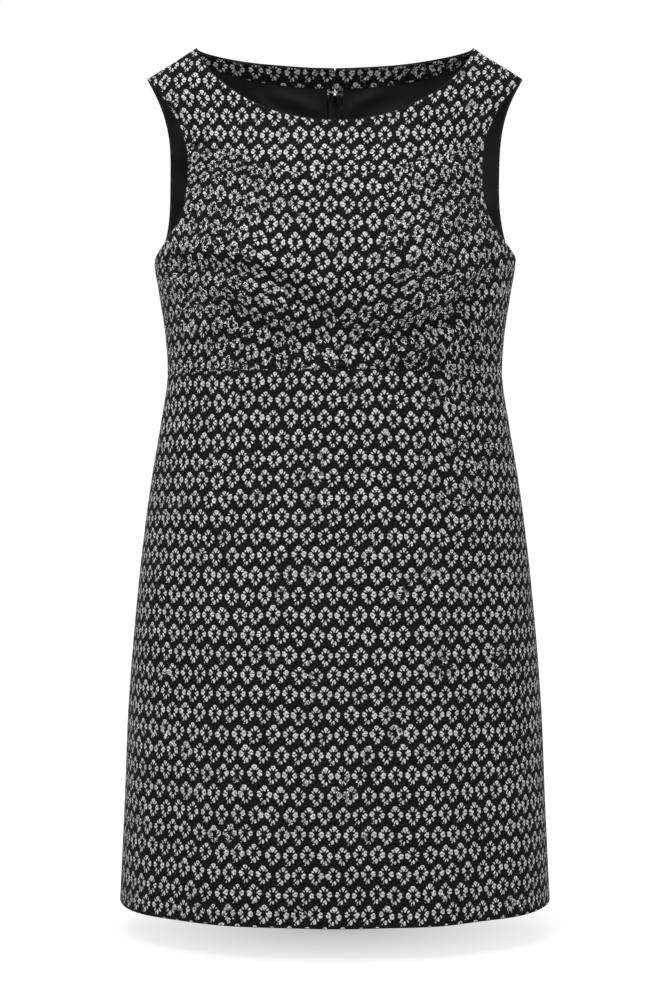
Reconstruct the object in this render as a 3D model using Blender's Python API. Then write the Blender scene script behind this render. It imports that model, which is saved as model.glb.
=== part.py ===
"""Sleeveless empire-line shift dress, filled out and hanging from its shoulders.

Metres, +Z up. The origin is on the centre line at the height of the two neck points, where the
wearer's shoulders carry the dress. The front faces -Y, so the wearer's left side is at +X.
The outer face of the cloth is one form, given by front-view places (x, z): each cut piece is a
wall whose outline is drawn on that form, and each layer inside is made from the same places.
"""

import math
from collections import namedtuple

import bmesh
import bpy
from mathutils import Matrix, Vector

# Cloth and seams
CLOTH = 0.0016
LINING = 0.0010
TAPE = 0.0008
GAP = 0.0003

# Neck and shoulders
NECK_HALF = 0.1384
FRONT_NECK_DROP = 0.0886
FRONT_NECK_POINT = 4 / 3
BACK_NECK_DROP = 0.0045
SHOULDER_TIP_X = 0.187
SHOULDER_TIP_Z = -0.031
SHOULDER_SLOPE = -SHOULDER_TIP_Z / (SHOULDER_TIP_X - NECK_HALF)

# Levels down the dress
UNDERARM_Z = -0.2125
EMPIRE_Z = -0.328
ZIP_END_Z = -0.560
HEM_Z = -0.8463

# How far below the shoulder line the cloth has turned fully upright
ROLL = {"front": 0.150, "back": 0.160}
FACES = {"front": -1.0, "back": 1.0}

# Half widths and depths of the level sections of the form
Section = namedtuple("Section", "z front_half back_half front_depth back_depth square")
SECTIONS = [
    Section(0.060, 0.2000, 0.2030, 0.0850, 0.0930, 2.00),
    Section(-0.005, 0.1970, 0.2020, 0.0860, 0.0974, 2.00),
    Section(-0.045, 0.1910, 0.2010, 0.0870, 0.1005, 2.00),
    Section(-0.0886, 0.1790, 0.1980, 0.0890, 0.1035, 2.00),
    Section(-0.142, 0.1685, 0.1925, 0.1120, 0.1055, 2.00),
    Section(-0.178, 0.1720, 0.1875, 0.1225, 0.1058, 2.02),
    Section(UNDERARM_Z, 0.1800, 0.1800, 0.1280, 0.1050, 2.04),
    Section(-0.245, 0.1755, 0.1755, 0.1285, 0.1025, 2.05),
    Section(-0.290, 0.1688, 0.1688, 0.1235, 0.0980, 2.06),
    Section(EMPIRE_Z, 0.1670, 0.1670, 0.1185, 0.0955, 2.07),
    Section(-0.375, 0.1736, 0.1736, 0.1200, 0.0960, 2.08),
    Section(-0.430, 0.1827, 0.1827, 0.1255, 0.1010, 2.10),
    Section(-0.495, 0.1914, 0.1914, 0.1340, 0.1110, 2.12),
    Section(ZIP_END_Z, 0.1981, 0.1981, 0.1415, 0.1225, 2.14),
    Section(-0.655, 0.2055, 0.2055, 0.1500, 0.1350, 2.16),
    Section(-0.750, 0.2093, 0.2093, 0.1550, 0.1430, 2.18),
    Section(HEM_Z, 0.2137, 0.2137, 0.1580, 0.1500, 2.20),
]

# Extra depth that the bodice's cut gives over each side of the bust
BUST_X = 0.080
BUST_Z = -0.238
BUST_REACH = 0.013
BUST_SPREAD_X = 0.052
BUST_SPREAD_Z = 0.048

# Armholes, seen from the front: how far in they cut, and how round they are at top and base
Armhole = namedtuple("Armhole", "inset top_round base_round")
ARMHOLES = {
    "front": Armhole(0.1433, 1.8, 3.2),
    "back": Armhole(0.1680, 3.0, 2.7),
}
ARMHOLE_MID_Z = (SHOULDER_TIP_Z + UNDERARM_Z) / 2
ARMHOLE_HALF = (SHOULDER_TIP_Z - UNDERARM_Z) / 2

# The seam under the front yoke, seen from the front
YokeStep = namedtuple("YokeStep", "x z")
YOKE_END_Z = -0.103
YOKE_SEAM = [
    YokeStep(0.000, -0.1421),
    YokeStep(0.031, -0.1416),
    YokeStep(0.055, -0.1368),
    YokeStep(0.070, -0.1305),
    YokeStep(0.087, -0.1210),
    YokeStep(0.110, -0.1140),
    YokeStep(0.150, YOKE_END_Z + 0.001),
]

# Steps across each half of the front, and down it
SEAM_STEPS = 10
ARMHOLE_STEPS = 4
YOKE_STEPS = 3
CHEST_STEPS = 4
BODICE_LEVELS = [-0.245, -0.290, EMPIRE_Z]
SKIRT_LEVELS = [EMPIRE_Z, -0.375, -0.430, -0.495, ZIP_END_Z, -0.655, -0.750, HEM_Z]

# Back panels: shares of the way from the top edge to the blade line, and from there to underarm
BACK_UPPER = [0.0, 0.0775, 0.155, 0.245, 0.34, 0.56, 0.78]
BACK_LOWER = [0.0, 0.36, 0.70, 1.0]
BLADE_TURN = math.radians(80)
BLADE_Z = -0.142
NECK_STEPS = 6
SHOULDER_STEPS = 3
FACING_ROW = 2
TUCK_ROW = 1

# Centre back: half the opening above the zip slider, half the seam gap below it, the tape's edge
OPENING_TOP = 0.0022
OPENING_SLIDER = 0.0015
OPENING_SLIDER_Z = -0.024
SEAM_HALF = GAP / 2
CLOSED_Z = -0.046
TAPE_EDGE = 0.0065
LINING_EDGE = 0.0080

# Hook and eye, zip slider and its pull tab
WIRE = 0.0003
HOOK_CLEAR = 0.0009
HOOK_Z = -0.0256
SLIDER_Z = -0.0325
SLIDER_HALF_WIDTH = 0.0030
SLIDER_HALF_HEIGHT = 0.0042
SLIDER_THICK = 0.0026
SLIDER_NECK_HALF = 0.00045
ARCH_RADIUS = 0.0021
ARCH_WIRE = 0.00045
HINGE_OUT = 0.0019
PULL_LENGTH = 0.0230
PULL_HALF_WIDTH = 0.0025
PULL_THICK = 0.0010
PULL_TOP = 0.0007
PULL_SLOT_HALF = 0.0011
PULL_SLOT_END = 0.0038


def smooth_value(places, values, at):
    """A smooth curve through the values, with each tangent taken from both neighbours."""
    if places[0] > places[-1]:
        places = places[::-1]
        values = values[::-1]
    at = min(max(at, places[0]), places[-1])
    last = len(places) - 1
    low = max(index for index in range(last) if places[index] <= at)

    def slope(index):
        before = max(index - 1, 0)
        after = min(index + 1, last)
        if before == index or after == index:
            return (values[after] - values[before]) / (places[after] - places[before])
        left = places[index] - places[before]
        right = places[after] - places[index]
        rise_left = (values[index] - values[before]) / left
        rise_right = (values[after] - values[index]) / right
        return (rise_left * right + rise_right * left) / (left + right)

    span = places[low + 1] - places[low]
    t = (at - places[low]) / span
    start = values[low] * (1 + 2 * t) * (1 - t) ** 2 + slope(low) * span * t * (1 - t) ** 2
    end = values[low + 1] * t * t * (3 - 2 * t) + slope(low + 1) * span * t * t * (t - 1)
    return start + end


def section(column, z):
    return smooth_value([row.z for row in SECTIONS], [getattr(row, column) for row in SECTIONS], z)


def shoulder_height(x):
    """The shoulder line: straight over the shoulder, and arched where it crosses the neck."""
    x = abs(x)
    if x > NECK_HALF:
        return -SHOULDER_SLOPE * (x - NECK_HALF)
    return SHOULDER_SLOPE * NECK_HALF / 2 * (1 - (x / NECK_HALF) ** 2)


def bust_fullness(x, z):
    across = (abs(x) - BUST_X) / BUST_SPREAD_X
    down = (z - BUST_Z) / BUST_SPREAD_Z
    return BUST_REACH * math.exp(-across * across - down * down)


def depth_squared(side, x, z):
    """The square of the form's depth at a front-view place; it falls through zero at its edges."""
    half = section(side + "_half", z)
    square = section("square", z)
    depth = section(side + "_depth", z)
    if side == "front":
        depth += bust_fullness(x, z)
    oval = 1 - (abs(x) / half) ** square
    oval = math.copysign(abs(oval) ** (2 / square), oval)
    drop = (shoulder_height(x) - z) / ROLL[side]
    roll = drop * (2 - drop) if drop < 1 else 1.0
    return depth * depth * oval * roll


def form_point(side, x, z):
    return Vector((x, FACES[side] * math.sqrt(max(depth_squared(side, x, z), 0.0)), z))


def form_normal(side, x, z):
    """The outward direction, from how the squared depth changes about the place."""
    step = 0.0004
    across = (depth_squared(side, x + step, z) - depth_squared(side, x - step, z)) / (2 * step)
    down = (depth_squared(side, x, z + step) - depth_squared(side, x, z - step)) / (2 * step)
    return Vector((-across, 2 * form_point(side, x, z).y, -down)).normalized()


def roll_from_drop(side, x, z):
    """How far round the shoulder a place is: 0 on the shoulder line, 1 where the cloth is upright."""
    drop = max(shoulder_height(x) - z, 0.0) / ROLL[side]
    if drop < 1:
        return math.acos(1 - drop) / (math.pi / 2)
    return 1 + (drop - 1) * 2 / math.pi


def place_from_roll(side, x, roll):
    drop = 1 - math.cos(roll * math.pi / 2) if roll < 1 else 1 + (roll - 1) * math.pi / 2
    return x, shoulder_height(x) - ROLL[side] * drop


def armhole_place(side, turn):
    """A front-view place on the armhole: turn is 0 at the underarm and pi at the shoulder tip."""
    hole = ARMHOLES[side]
    rise = math.cos(turn)
    if rise > 0:
        end, power = section("front_half", UNDERARM_Z), hole.base_round
    else:
        end, power = SHOULDER_TIP_X, hole.top_round
    x = hole.inset + (end - hole.inset) * abs(rise) ** power
    return x, ARMHOLE_MID_Z - ARMHOLE_HALF * rise


def turn_at(z):
    return math.acos((ARMHOLE_MID_Z - z) / ARMHOLE_HALF)


YOKE_TURN = turn_at(YOKE_END_Z)


def yoke_seam_place(share):
    end_x = armhole_place("front", YOKE_TURN)[0]
    half = section("front_half", YOKE_END_Z)
    angle = math.asin(end_x / half)
    x = half * math.sin(share * angle)
    return x, smooth_value([step.x for step in YOKE_SEAM], [step.z for step in YOKE_SEAM], x)


def front_neck_place(share):
    angle = share * math.pi / 2
    return NECK_HALF * math.sin(angle), -FRONT_NECK_DROP * math.cos(angle) ** FRONT_NECK_POINT


def back_neck_place(x):
    return x, -BACK_NECK_DROP * (1 - (x / NECK_HALF) ** 2)


def mix(first, second, share):
    return first + (second - first) * share


def mirrored(row):
    """A row given from the centre out, carried on across the centre to the other side."""
    return [(-x, z) for x, z in row[:0:-1]] + row


def centre_opening(z):
    """Half the width between the back panels: a small notch above the slider, then a seam."""
    top_z = -BACK_NECK_DROP
    if z > OPENING_SLIDER_Z:
        return mix(OPENING_TOP, OPENING_SLIDER, (top_z - z) / (top_z - OPENING_SLIDER_Z))
    if z > CLOSED_Z:
        return mix(OPENING_SLIDER, SEAM_HALF, (OPENING_SLIDER_Z - z) / (OPENING_SLIDER_Z - CLOSED_Z))
    return SEAM_HALF


def level_row(side, z, steps):
    half = section(side + "_half", z)
    return [(half * math.sin(step / steps * math.pi / 2), z) for step in range(steps + 1)]


def chest_row(side, top_row, share, first_turn):
    """A row between a top row and the underarm level, with its end on the armhole."""
    end_x, end_z = armhole_place(side, first_turn * (1 - share))
    last = len(top_row) - 1
    row = []
    for step, (x, z) in enumerate(top_row):
        start = math.asin(x / section(side + "_half", z))
        angle = mix(start, step / last * math.pi / 2, share)
        top_end_angle = math.asin(top_row[-1][0] / section(side + "_half", top_row[-1][1]))
        end_angle = math.asin(min(end_x / section(side + "_half", end_z), 1.0))
        angle += (end_angle - mix(top_end_angle, math.pi / 2, share)) * step / last
        level = mix(z, UNDERARM_Z, share)
        level += (end_z - mix(top_row[-1][1], UNDERARM_Z, share)) * (step / last) ** 3
        row.append((section(side + "_half", level) * math.sin(angle), level))
    row[-1] = (end_x, end_z)
    return row


def front_yoke_rows():
    """Rows from the neck edge out; each runs round the band from shoulder seam to shoulder seam."""
    inner = []
    outer = []
    steps = SEAM_STEPS + ARMHOLE_STEPS
    for step in range(steps + 1):
        inner.append(front_neck_place(step / steps))
        if step <= SEAM_STEPS:
            outer.append(yoke_seam_place(step / SEAM_STEPS))
        else:
            share = (step - SEAM_STEPS) / ARMHOLE_STEPS
            outer.append(armhole_place("front", mix(YOKE_TURN, math.pi, share)))
    outer[SEAM_STEPS] = armhole_place("front", YOKE_TURN)
    rows = []
    for band in range(YOKE_STEPS + 1):
        row = []
        for near, far in zip(inner, outer):
            roll = mix(roll_from_drop("front", *near), roll_from_drop("front", *far), band / YOKE_STEPS)
            row.append(place_from_roll("front", mix(near[0], far[0], band / YOKE_STEPS), roll))
        rows.append(mirrored(row))
    return rows


def front_bodice_rows():
    top = [yoke_seam_place(step / SEAM_STEPS) for step in range(SEAM_STEPS)]
    top.append(armhole_place("front", YOKE_TURN))
    rows = [top]
    for step in range(1, CHEST_STEPS):
        rows.append(chest_row("front", top, step / CHEST_STEPS, YOKE_TURN))
    rows += [level_row("front", z, SEAM_STEPS) for z in [UNDERARM_Z] + BODICE_LEVELS]
    return [mirrored(row) for row in rows]


def front_skirt_rows():
    return [mirrored(level_row("front", z, SEAM_STEPS)) for z in SKIRT_LEVELS]


def back_rows():
    """Rows of the left back from centre to side, with columns along the zip tape's edges."""
    steps = NECK_STEPS + SHOULDER_STEPS
    top = []
    for step in range(1, NECK_STEPS + 1):
        top.append(back_neck_place(NECK_HALF * math.sin(step / NECK_STEPS * math.pi / 2)))
    for step in range(1, SHOULDER_STEPS + 1):
        x = mix(NECK_HALF, SHOULDER_TIP_X, step / SHOULDER_STEPS)
        top.append((x, shoulder_height(x)))
    end_x, end_z = armhole_place("back", BLADE_TURN)
    end_angle = math.asin(end_x / section("back_half", end_z))
    blade = []
    for step in range(1, steps + 1):
        z = mix(BLADE_Z, end_z, (step / steps) ** 2)
        blade.append((section("back_half", z) * math.sin(step / steps * end_angle), z))
    rows = []
    for share in BACK_UPPER:
        edge_x, edge_z = armhole_place("back", mix(math.pi, BLADE_TURN, share))
        edge_roll = roll_from_drop("back", edge_x, edge_z)
        last_roll = mix(roll_from_drop("back", *top[-1]), roll_from_drop("back", *blade[-1]), share)
        last_x = mix(top[-1][0], blade[-1][0], share)
        row = []
        for step, (near, far) in enumerate(zip(top, blade), start=1):
            pull = (step / steps) ** 3
            roll = mix(roll_from_drop("back", *near), roll_from_drop("back", *far), share)
            x = mix(near[0], far[0], share) + (edge_x - last_x) * pull
            row.append(place_from_roll("back", x, roll + (edge_roll - last_roll) * pull))
        rows.append(row)
    rows += [chest_row("back", [(0.0, BLADE_Z)] + blade, share, BLADE_TURN)[1:] for share in BACK_LOWER]
    levels = BODICE_LEVELS + SKIRT_LEVELS[1:]
    rows += [level_row("back", z, steps)[1:] for z in levels]
    full = []
    for index, row in enumerate(rows):
        centre_z = row[0][1]
        if index == 0:
            centre_z = -BACK_NECK_DROP
        elif index < len(BACK_UPPER):
            roll = roll_from_drop("back", 0, -BACK_NECK_DROP)
            roll = mix(roll, roll_from_drop("back", 0, BLADE_Z), BACK_UPPER[index])
            centre_z = place_from_roll("back", 0, roll)[1]
        elif index < len(BACK_UPPER) + len(BACK_LOWER):
            centre_z = mix(BLADE_Z, UNDERARM_Z, BACK_LOWER[index - len(BACK_UPPER)])
        zip_columns = [(x, centre_z) for x in (centre_opening(centre_z), TAPE_EDGE, LINING_EDGE)]
        full.append(zip_columns + row)
    return full


def material(name, colour, roughness, metallic=0.0):
    made = bpy.data.materials.new(name)
    made.use_nodes = True
    shader = made.node_tree.nodes["Principled BSDF"]
    shader.inputs["Base Color"].default_value = (*colour, 1.0)
    shader.inputs["Roughness"].default_value = roughness
    shader.inputs["Metallic"].default_value = metallic
    made.diffuse_color = (*colour, 1.0)
    return made


def add_object(name, data, finish):
    """finish is a colour, a roughness and a metallic value."""
    made = bpy.data.objects.new(name, data)
    made.data.materials.append(material(name, *finish))
    dress.objects.link(made)
    return made


def split_cell(side, rows, i, j):
    """The two triangles of a cell, along the diagonal that stands further out, for every layer."""
    places = [rows[i][j], rows[i][j + 1], rows[i + 1][j + 1], rows[i + 1][j]]
    points = [form_point(side, *place) for place in places]
    outward = form_normal(side, *places[0]) + form_normal(side, *places[2])
    if (points[0] + points[2] - points[1] - points[3]).dot(outward) > 0:
        return (0, 1, 2), (0, 2, 3)
    return (0, 1, 3), (1, 2, 3)


def cloth_wall(name, side, rows, finish, thickness=CLOTH, depth=0.0, keep=None, trims=(), mirror=False):
    """A closed wall on the form. rows are front-view places; depth is how far inside the outer face
    it starts; keep says which cells it covers; trims draw back its seam edges by half the gap."""
    mesh = bmesh.new()
    corners = {}

    def corner(i, j):
        if (i, j) not in corners:
            x, z = rows[i][j]
            point = form_point(side, x, z)
            normal = form_normal(side, x, z)
            for at_edge, shift in trims:
                if at_edge(i, j):
                    point = point + shift(normal) * (GAP / 2)
            pair = [point - normal * depth, point - normal * (depth + thickness)]
            if mirror:
                pair = [Vector((-place.x, place.y, place.z)) for place in pair]
            corners[i, j] = [mesh.verts.new(place) for place in pair]
        return corners[i, j]

    cells = [
        (i, j)
        for i in range(len(rows) - 1)
        for j in range(len(rows[0]) - 1)
        if keep is None or keep(i, j)
    ]
    covered = set(cells)
    for i, j in cells:
        ring = [corner(i, j), corner(i, j + 1), corner(i + 1, j + 1), corner(i + 1, j)]
        for triangle in split_cell(side, rows, i, j):
            mesh.faces.new([ring[index][0] for index in triangle])
            mesh.faces.new([ring[index][1] for index in reversed(triangle)])
        sides = [(i - 1, j), (i, j + 1), (i + 1, j), (i, j - 1)]
        for index, beside in enumerate(sides):
            if beside not in covered:
                here = ring[index]
                after = ring[(index + 1) % 4]
                mesh.faces.new([here[0], here[1], after[1], after[0]])
    bmesh.ops.recalc_face_normals(mesh, faces=mesh.faces)
    data = bpy.data.meshes.new(name)
    mesh.to_mesh(data)
    mesh.free()
    data.shade_smooth()
    data.set_sharp_from_angle(angle=math.radians(40))
    return add_object(name, data, finish)


def forward(normal):
    return Vector((0, -1, 0))


def backward(normal):
    return Vector((0, 1, 0))


def upward(normal):
    return (Vector((0, 0, 1)) - normal * normal.z).normalized()


def downward(normal):
    return -upward(normal)


def first_or_last(index, row):
    return index in (0, len(row) - 1)


JACQUARD = ((0.07, 0.07, 0.075), 0.85)
BLACK_LINING = ((0.012, 0.012, 0.014), 0.45)
BLACK_TAPE = ((0.010, 0.010, 0.012), 0.70)
BLACK_METAL = ((0.02, 0.02, 0.022), 0.35, 1.0)
BRIGHT_METAL = ((0.78, 0.78, 0.80), 0.25, 1.0)


def make_front_yoke():
    rows = front_yoke_rows()
    last = len(rows[0]) - 1
    seam = range(ARMHOLE_STEPS, last - ARMHOLE_STEPS + 1)
    trims = [
        (lambda i, j: j in (0, last), forward),
        (lambda i, j: i == YOKE_STEPS and j in seam, upward),
    ]
    cloth_wall("front_yoke", "front", rows, JACQUARD, trims=trims)


def make_front_bodice():
    rows = front_bodice_rows()
    last = len(rows) - 1
    trims = [
        (lambda i, j: i >= CHEST_STEPS and first_or_last(j, rows[0]), forward),
        (lambda i, j: i == 0, downward),
        (lambda i, j: i == last, upward),
    ]
    cloth_wall("front_bodice", "front", rows, JACQUARD, trims=trims)


def make_front_skirt():
    rows = front_skirt_rows()
    trims = [
        (lambda i, j: first_or_last(j, rows[0]), forward),
        (lambda i, j: i == 0, downward),
    ]
    cloth_wall("front_skirt", "front", rows, JACQUARD, trims=trims)


def make_backs():
    """Both halves of the back: panel, lining, neck facing and zip tape, from the same places."""
    rows = back_rows()
    last = len(rows[0]) - 1
    neck_point = 2 + NECK_STEPS
    underarm = len(BACK_UPPER) + len(BACK_LOWER) - 1
    lining_end = underarm + BODICE_LEVELS.index(EMPIRE_Z) + 1
    zip_end = underarm + len(BODICE_LEVELS) + SKIRT_LEVELS.index(ZIP_END_Z)
    side_seam = (lambda i, j: i >= underarm and j == last, backward)
    shoulder_seam = (lambda i, j: i == 0 and j >= neck_point, backward)
    second = CLOTH + GAP
    third = second + LINING + GAP

    def lined(i, j):
        return 2 <= j and i < lining_end and (i >= TUCK_ROW or j >= neck_point)

    def faced(i, j):
        return i < FACING_ROW and j <= neck_point

    def taped(i, j):
        return j == 0 and TUCK_ROW <= i < zip_end

    for half, mirror in (("left", False), ("right", True)):
        seams = [side_seam, shoulder_seam]
        cloth_wall("back_" + half, "back", rows, JACQUARD, trims=seams, mirror=mirror)
        cloth_wall(
            "back_lining_" + half, "back", rows, BLACK_LINING, LINING, second, lined, seams, mirror
        )
        cloth_wall(
            "neck_facing_" + half, "back", rows, JACQUARD, LINING, third, faced, seams, mirror
        )
        cloth_wall("zip_tape_" + half, "back", rows, BLACK_TAPE, TAPE, second, taped, (), mirror)


def centre_back_frame(z):
    """Axes on the centre back: X across, Y out of the cloth, Z up along it."""
    normal = form_normal("back", 0, z)
    up = Vector((1, 0, 0)).cross(normal)
    frame = Matrix((Vector((1, 0, 0)), normal, up)).transposed().to_4x4()
    frame.translation = form_point("back", 0, z)
    return frame


def wire_curve(name, points, radius):
    curve = bpy.data.curves.new(name, "CURVE")
    curve.dimensions = "3D"
    curve.bevel_depth = radius
    curve.bevel_resolution = 1
    curve.use_fill_caps = True
    spline = curve.splines.new("POLY")
    spline.points.add(len(points) - 1)
    for place, point in zip(points, spline.points):
        point.co = (*place, 1.0)
    return curve


def arc(centre, radius, start, end, steps):
    """Points on an arc, as pairs; angles in degrees."""
    angles = [math.radians(mix(start, end, step / steps)) for step in range(steps + 1)]
    return [(centre[0] + radius * math.cos(a), centre[1] + radius * math.sin(a)) for a in angles]


def make_hook_and_eye():
    """Bent wire, closed across the opening at the top of the zip. X across, Y out, Z up."""
    frame = centre_back_frame(HOOK_Z)
    flat = -(CLOTH + GAP + LINING + HOOK_CLEAR + WIRE)
    bend = 0.0008
    twin = 0.0005
    loop = 0.0011
    loop_x = -0.0064
    upper = arc((loop_x, loop + twin), loop, 60, 270, 7)
    hook = [(x, flat, z) for x, z in upper]
    turn = arc((0.0016, flat - bend), bend, 90, -90, 4)
    hook += [(x, y, twin) for x, y in turn]
    hook += [(-0.0024, flat - 2 * bend, twin)]
    hook += [(-0.0024 - x, flat - 2 * bend, z) for x, z in arc((0, 0), twin, 60, -60, 2)]
    hook += [(-0.0024, flat - 2 * bend, -twin)]
    hook += [(x, y, -twin) for x, y in reversed(turn)]
    hook += [(x, flat, -z) for x, z in reversed(upper)]
    made = add_object("hook", wire_curve("hook", hook, WIRE), BRIGHT_METAL)
    made.matrix_world = frame

    eye_x = 0.0041
    ring = 0.0024
    bow = arc((eye_x, 0), ring, 50, 310, 10)
    reach = [math.sin(math.pi * step / 10) for step in range(11)]
    foot = arc((eye_x + 0.0030, ring), 0.0010, -60, 200, 6)
    eye = [(x, flat, z) for x, z in foot]
    eye += [(x, flat - bend * lift, z) for (x, z), lift in zip(bow, reach)]
    eye += [(x, flat, -z) for x, z in reversed(foot)]
    made = add_object("eye", wire_curve("eye", eye, WIRE), BRIGHT_METAL)
    made.matrix_world = frame


def local_box(name, low, high, bevel=0.0):
    mesh = bmesh.new()
    bmesh.ops.create_cube(mesh, size=1.0)
    size = [b - a for a, b in zip(low, high)]
    centre = Vector([(a + b) / 2 for a, b in zip(low, high)])
    bmesh.ops.scale(mesh, vec=size, verts=mesh.verts)
    bmesh.ops.translate(mesh, vec=centre, verts=mesh.verts)
    if bevel:
        bmesh.ops.bevel(mesh, geom=mesh.edges[:], offset=bevel, segments=2, profile=0.5, affect="EDGES")
    data = bpy.data.meshes.new(name)
    mesh.to_mesh(data)
    mesh.free()
    return data


def make_zip_slider():
    """A body behind the tapes, a neck through the opening, and an arch outside for the pull."""
    frame = centre_back_frame(SLIDER_Z)
    inside = -(CLOTH + GAP + TAPE + 2 * GAP)
    neck_half = ARCH_RADIUS + ARCH_WIRE
    body = local_box(
        "zip_slider",
        (-SLIDER_HALF_WIDTH, inside - SLIDER_THICK, -SLIDER_HALF_HEIGHT),
        (SLIDER_HALF_WIDTH, inside, SLIDER_HALF_HEIGHT),
        bevel=0.0006,
    )
    slider = add_object("zip_slider", body, BLACK_METAL)
    slider.matrix_world = frame
    neck = local_box(
        "slider_neck",
        (-SLIDER_NECK_HALF, inside - SLIDER_THICK / 2, -neck_half),
        (SLIDER_NECK_HALF, 0.0008, neck_half),
    )
    loop = [(0, 0.0001, ARCH_RADIUS)]
    loop += [(0, y, z) for y, z in arc((HINGE_OUT, 0), ARCH_RADIUS, 90, -90, 10)]
    loop += [(0, 0.0001, -ARCH_RADIUS)]
    curve = bpy.data.objects.new("arch_curve", wire_curve("arch_curve", loop, ARCH_WIRE - 0.00002))
    helpers.objects.link(curve)
    bpy.context.view_layer.update()
    arch = bpy.data.meshes.new_from_object(curve.evaluated_get(bpy.context.evaluated_depsgraph_get()))
    bpy.data.objects.remove(curve)
    weld = bmesh.new()
    weld.from_mesh(arch)
    bmesh.ops.remove_doubles(weld, verts=weld.verts, dist=1e-6)
    bmesh.ops.recalc_face_normals(weld, faces=weld.faces)
    weld.to_mesh(arch)
    weld.free()
    for name, data in (("slider_neck", neck), ("slider_arch", arch)):
        helper = bpy.data.objects.new(name, data)
        helper.matrix_world = frame
        helper.hide_render = True
        helper.display_type = "WIRE"
        helpers.objects.link(helper)
        join = slider.modifiers.new("join_" + name, "BOOLEAN")
        join.operation = "UNION"
        join.object = helper


def make_zip_pull():
    """A flat tab with a slot for the slider's arch; its origin is on the hinge axis."""
    curve = bpy.data.curves.new("zip_pull", "CURVE")
    curve.dimensions = "2D"
    curve.fill_mode = "BOTH"
    curve.extrude = PULL_THICK / 2
    corner = 0.0006
    waist = 0.0017
    end = -PULL_LENGTH + PULL_HALF_WIDTH
    outline = arc((0, end), PULL_HALF_WIDTH, 180, 360, 12)
    outline += [(waist, -PULL_SLOT_END * 1.9)]
    outline += [(PULL_HALF_WIDTH, -PULL_SLOT_END)]
    outline += arc((PULL_HALF_WIDTH - corner, PULL_TOP - corner), corner, 0, 90, 3)
    outline += arc((corner - PULL_HALF_WIDTH, PULL_TOP - corner), corner, 90, 180, 3)
    outline += [(-PULL_HALF_WIDTH, -PULL_SLOT_END)]
    outline += [(-waist, -PULL_SLOT_END * 1.9)]
    slot = [
        (PULL_SLOT_HALF, -PULL_TOP),
        (PULL_SLOT_HALF, -PULL_SLOT_END + corner),
        (PULL_SLOT_HALF - corner, -PULL_SLOT_END),
        (corner - PULL_SLOT_HALF, -PULL_SLOT_END),
        (-PULL_SLOT_HALF, -PULL_SLOT_END + corner),
        (-PULL_SLOT_HALF, -PULL_TOP),
    ]
    for points in (outline, slot):
        spline = curve.splines.new("POLY")
        spline.use_cyclic_u = True
        spline.points.add(len(points) - 1)
        for place, point in zip(points, spline.points):
            point.co = (*place, 0.0, 1.0)
    flat = bpy.data.objects.new("pull_curve", curve)
    helpers.objects.link(flat)
    bpy.context.view_layer.update()
    data = bpy.data.meshes.new_from_object(flat.evaluated_get(bpy.context.evaluated_depsgraph_get()))
    bpy.data.objects.remove(flat)
    weld = bmesh.new()
    weld.from_mesh(data)
    bmesh.ops.remove_doubles(weld, verts=weld.verts, dist=1e-6)
    bmesh.ops.recalc_face_normals(weld, faces=weld.faces)
    weld.to_mesh(data)
    weld.free()
    data.materials.clear()
    pull = add_object("zip_pull", data, BLACK_METAL)
    lay_flat = Matrix.Rotation(math.pi / 2, 4, "X")
    pull.matrix_world = centre_back_frame(SLIDER_Z) @ Matrix.Translation((0, HINGE_OUT, 0)) @ lay_flat


for old in list(bpy.data.objects):
    bpy.data.objects.remove(old)
dress = bpy.data.collections.new("shift_dress")
helpers = bpy.data.collections.new("helpers")
bpy.context.scene.collection.children.link(dress)
bpy.context.scene.collection.children.link(helpers)

make_front_yoke()
make_front_bodice()
make_front_skirt()
make_backs()
make_hook_and_eye()
make_zip_slider()
make_zip_pull()
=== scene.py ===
# %% [markdown]
# # A woven shift dress, piece by piece
# The dress is a sleeveless shift with a yoke, a seam under the bust and an A-line skirt.
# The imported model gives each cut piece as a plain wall. This lesson dresses those walls:
# every cut piece becomes a thin shell of jacquard with its folds, seams and turned edges.

import math

import bpy
import numpy as np
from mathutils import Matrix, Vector


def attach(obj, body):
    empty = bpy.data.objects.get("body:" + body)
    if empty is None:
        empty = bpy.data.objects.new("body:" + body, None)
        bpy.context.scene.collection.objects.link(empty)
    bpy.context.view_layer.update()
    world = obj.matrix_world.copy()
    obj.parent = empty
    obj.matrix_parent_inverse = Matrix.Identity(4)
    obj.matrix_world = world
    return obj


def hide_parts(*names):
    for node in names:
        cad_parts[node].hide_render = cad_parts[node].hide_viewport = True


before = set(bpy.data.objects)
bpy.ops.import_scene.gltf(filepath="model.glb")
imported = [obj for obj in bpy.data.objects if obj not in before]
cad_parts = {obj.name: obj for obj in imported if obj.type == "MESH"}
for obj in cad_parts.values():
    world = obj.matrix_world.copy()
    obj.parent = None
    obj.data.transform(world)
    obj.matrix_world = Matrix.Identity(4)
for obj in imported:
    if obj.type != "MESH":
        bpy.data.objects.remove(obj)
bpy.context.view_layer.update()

# %% [markdown]
# ## The measures of the pattern
# A dressmaker starts from a few lengths: neck, shoulder, underarm, the seam under the bust,
# the end of the zip and the hem. All are in metres, and heights count down from the neck
# points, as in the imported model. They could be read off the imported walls, but written out they
# can be changed one at a time.

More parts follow.
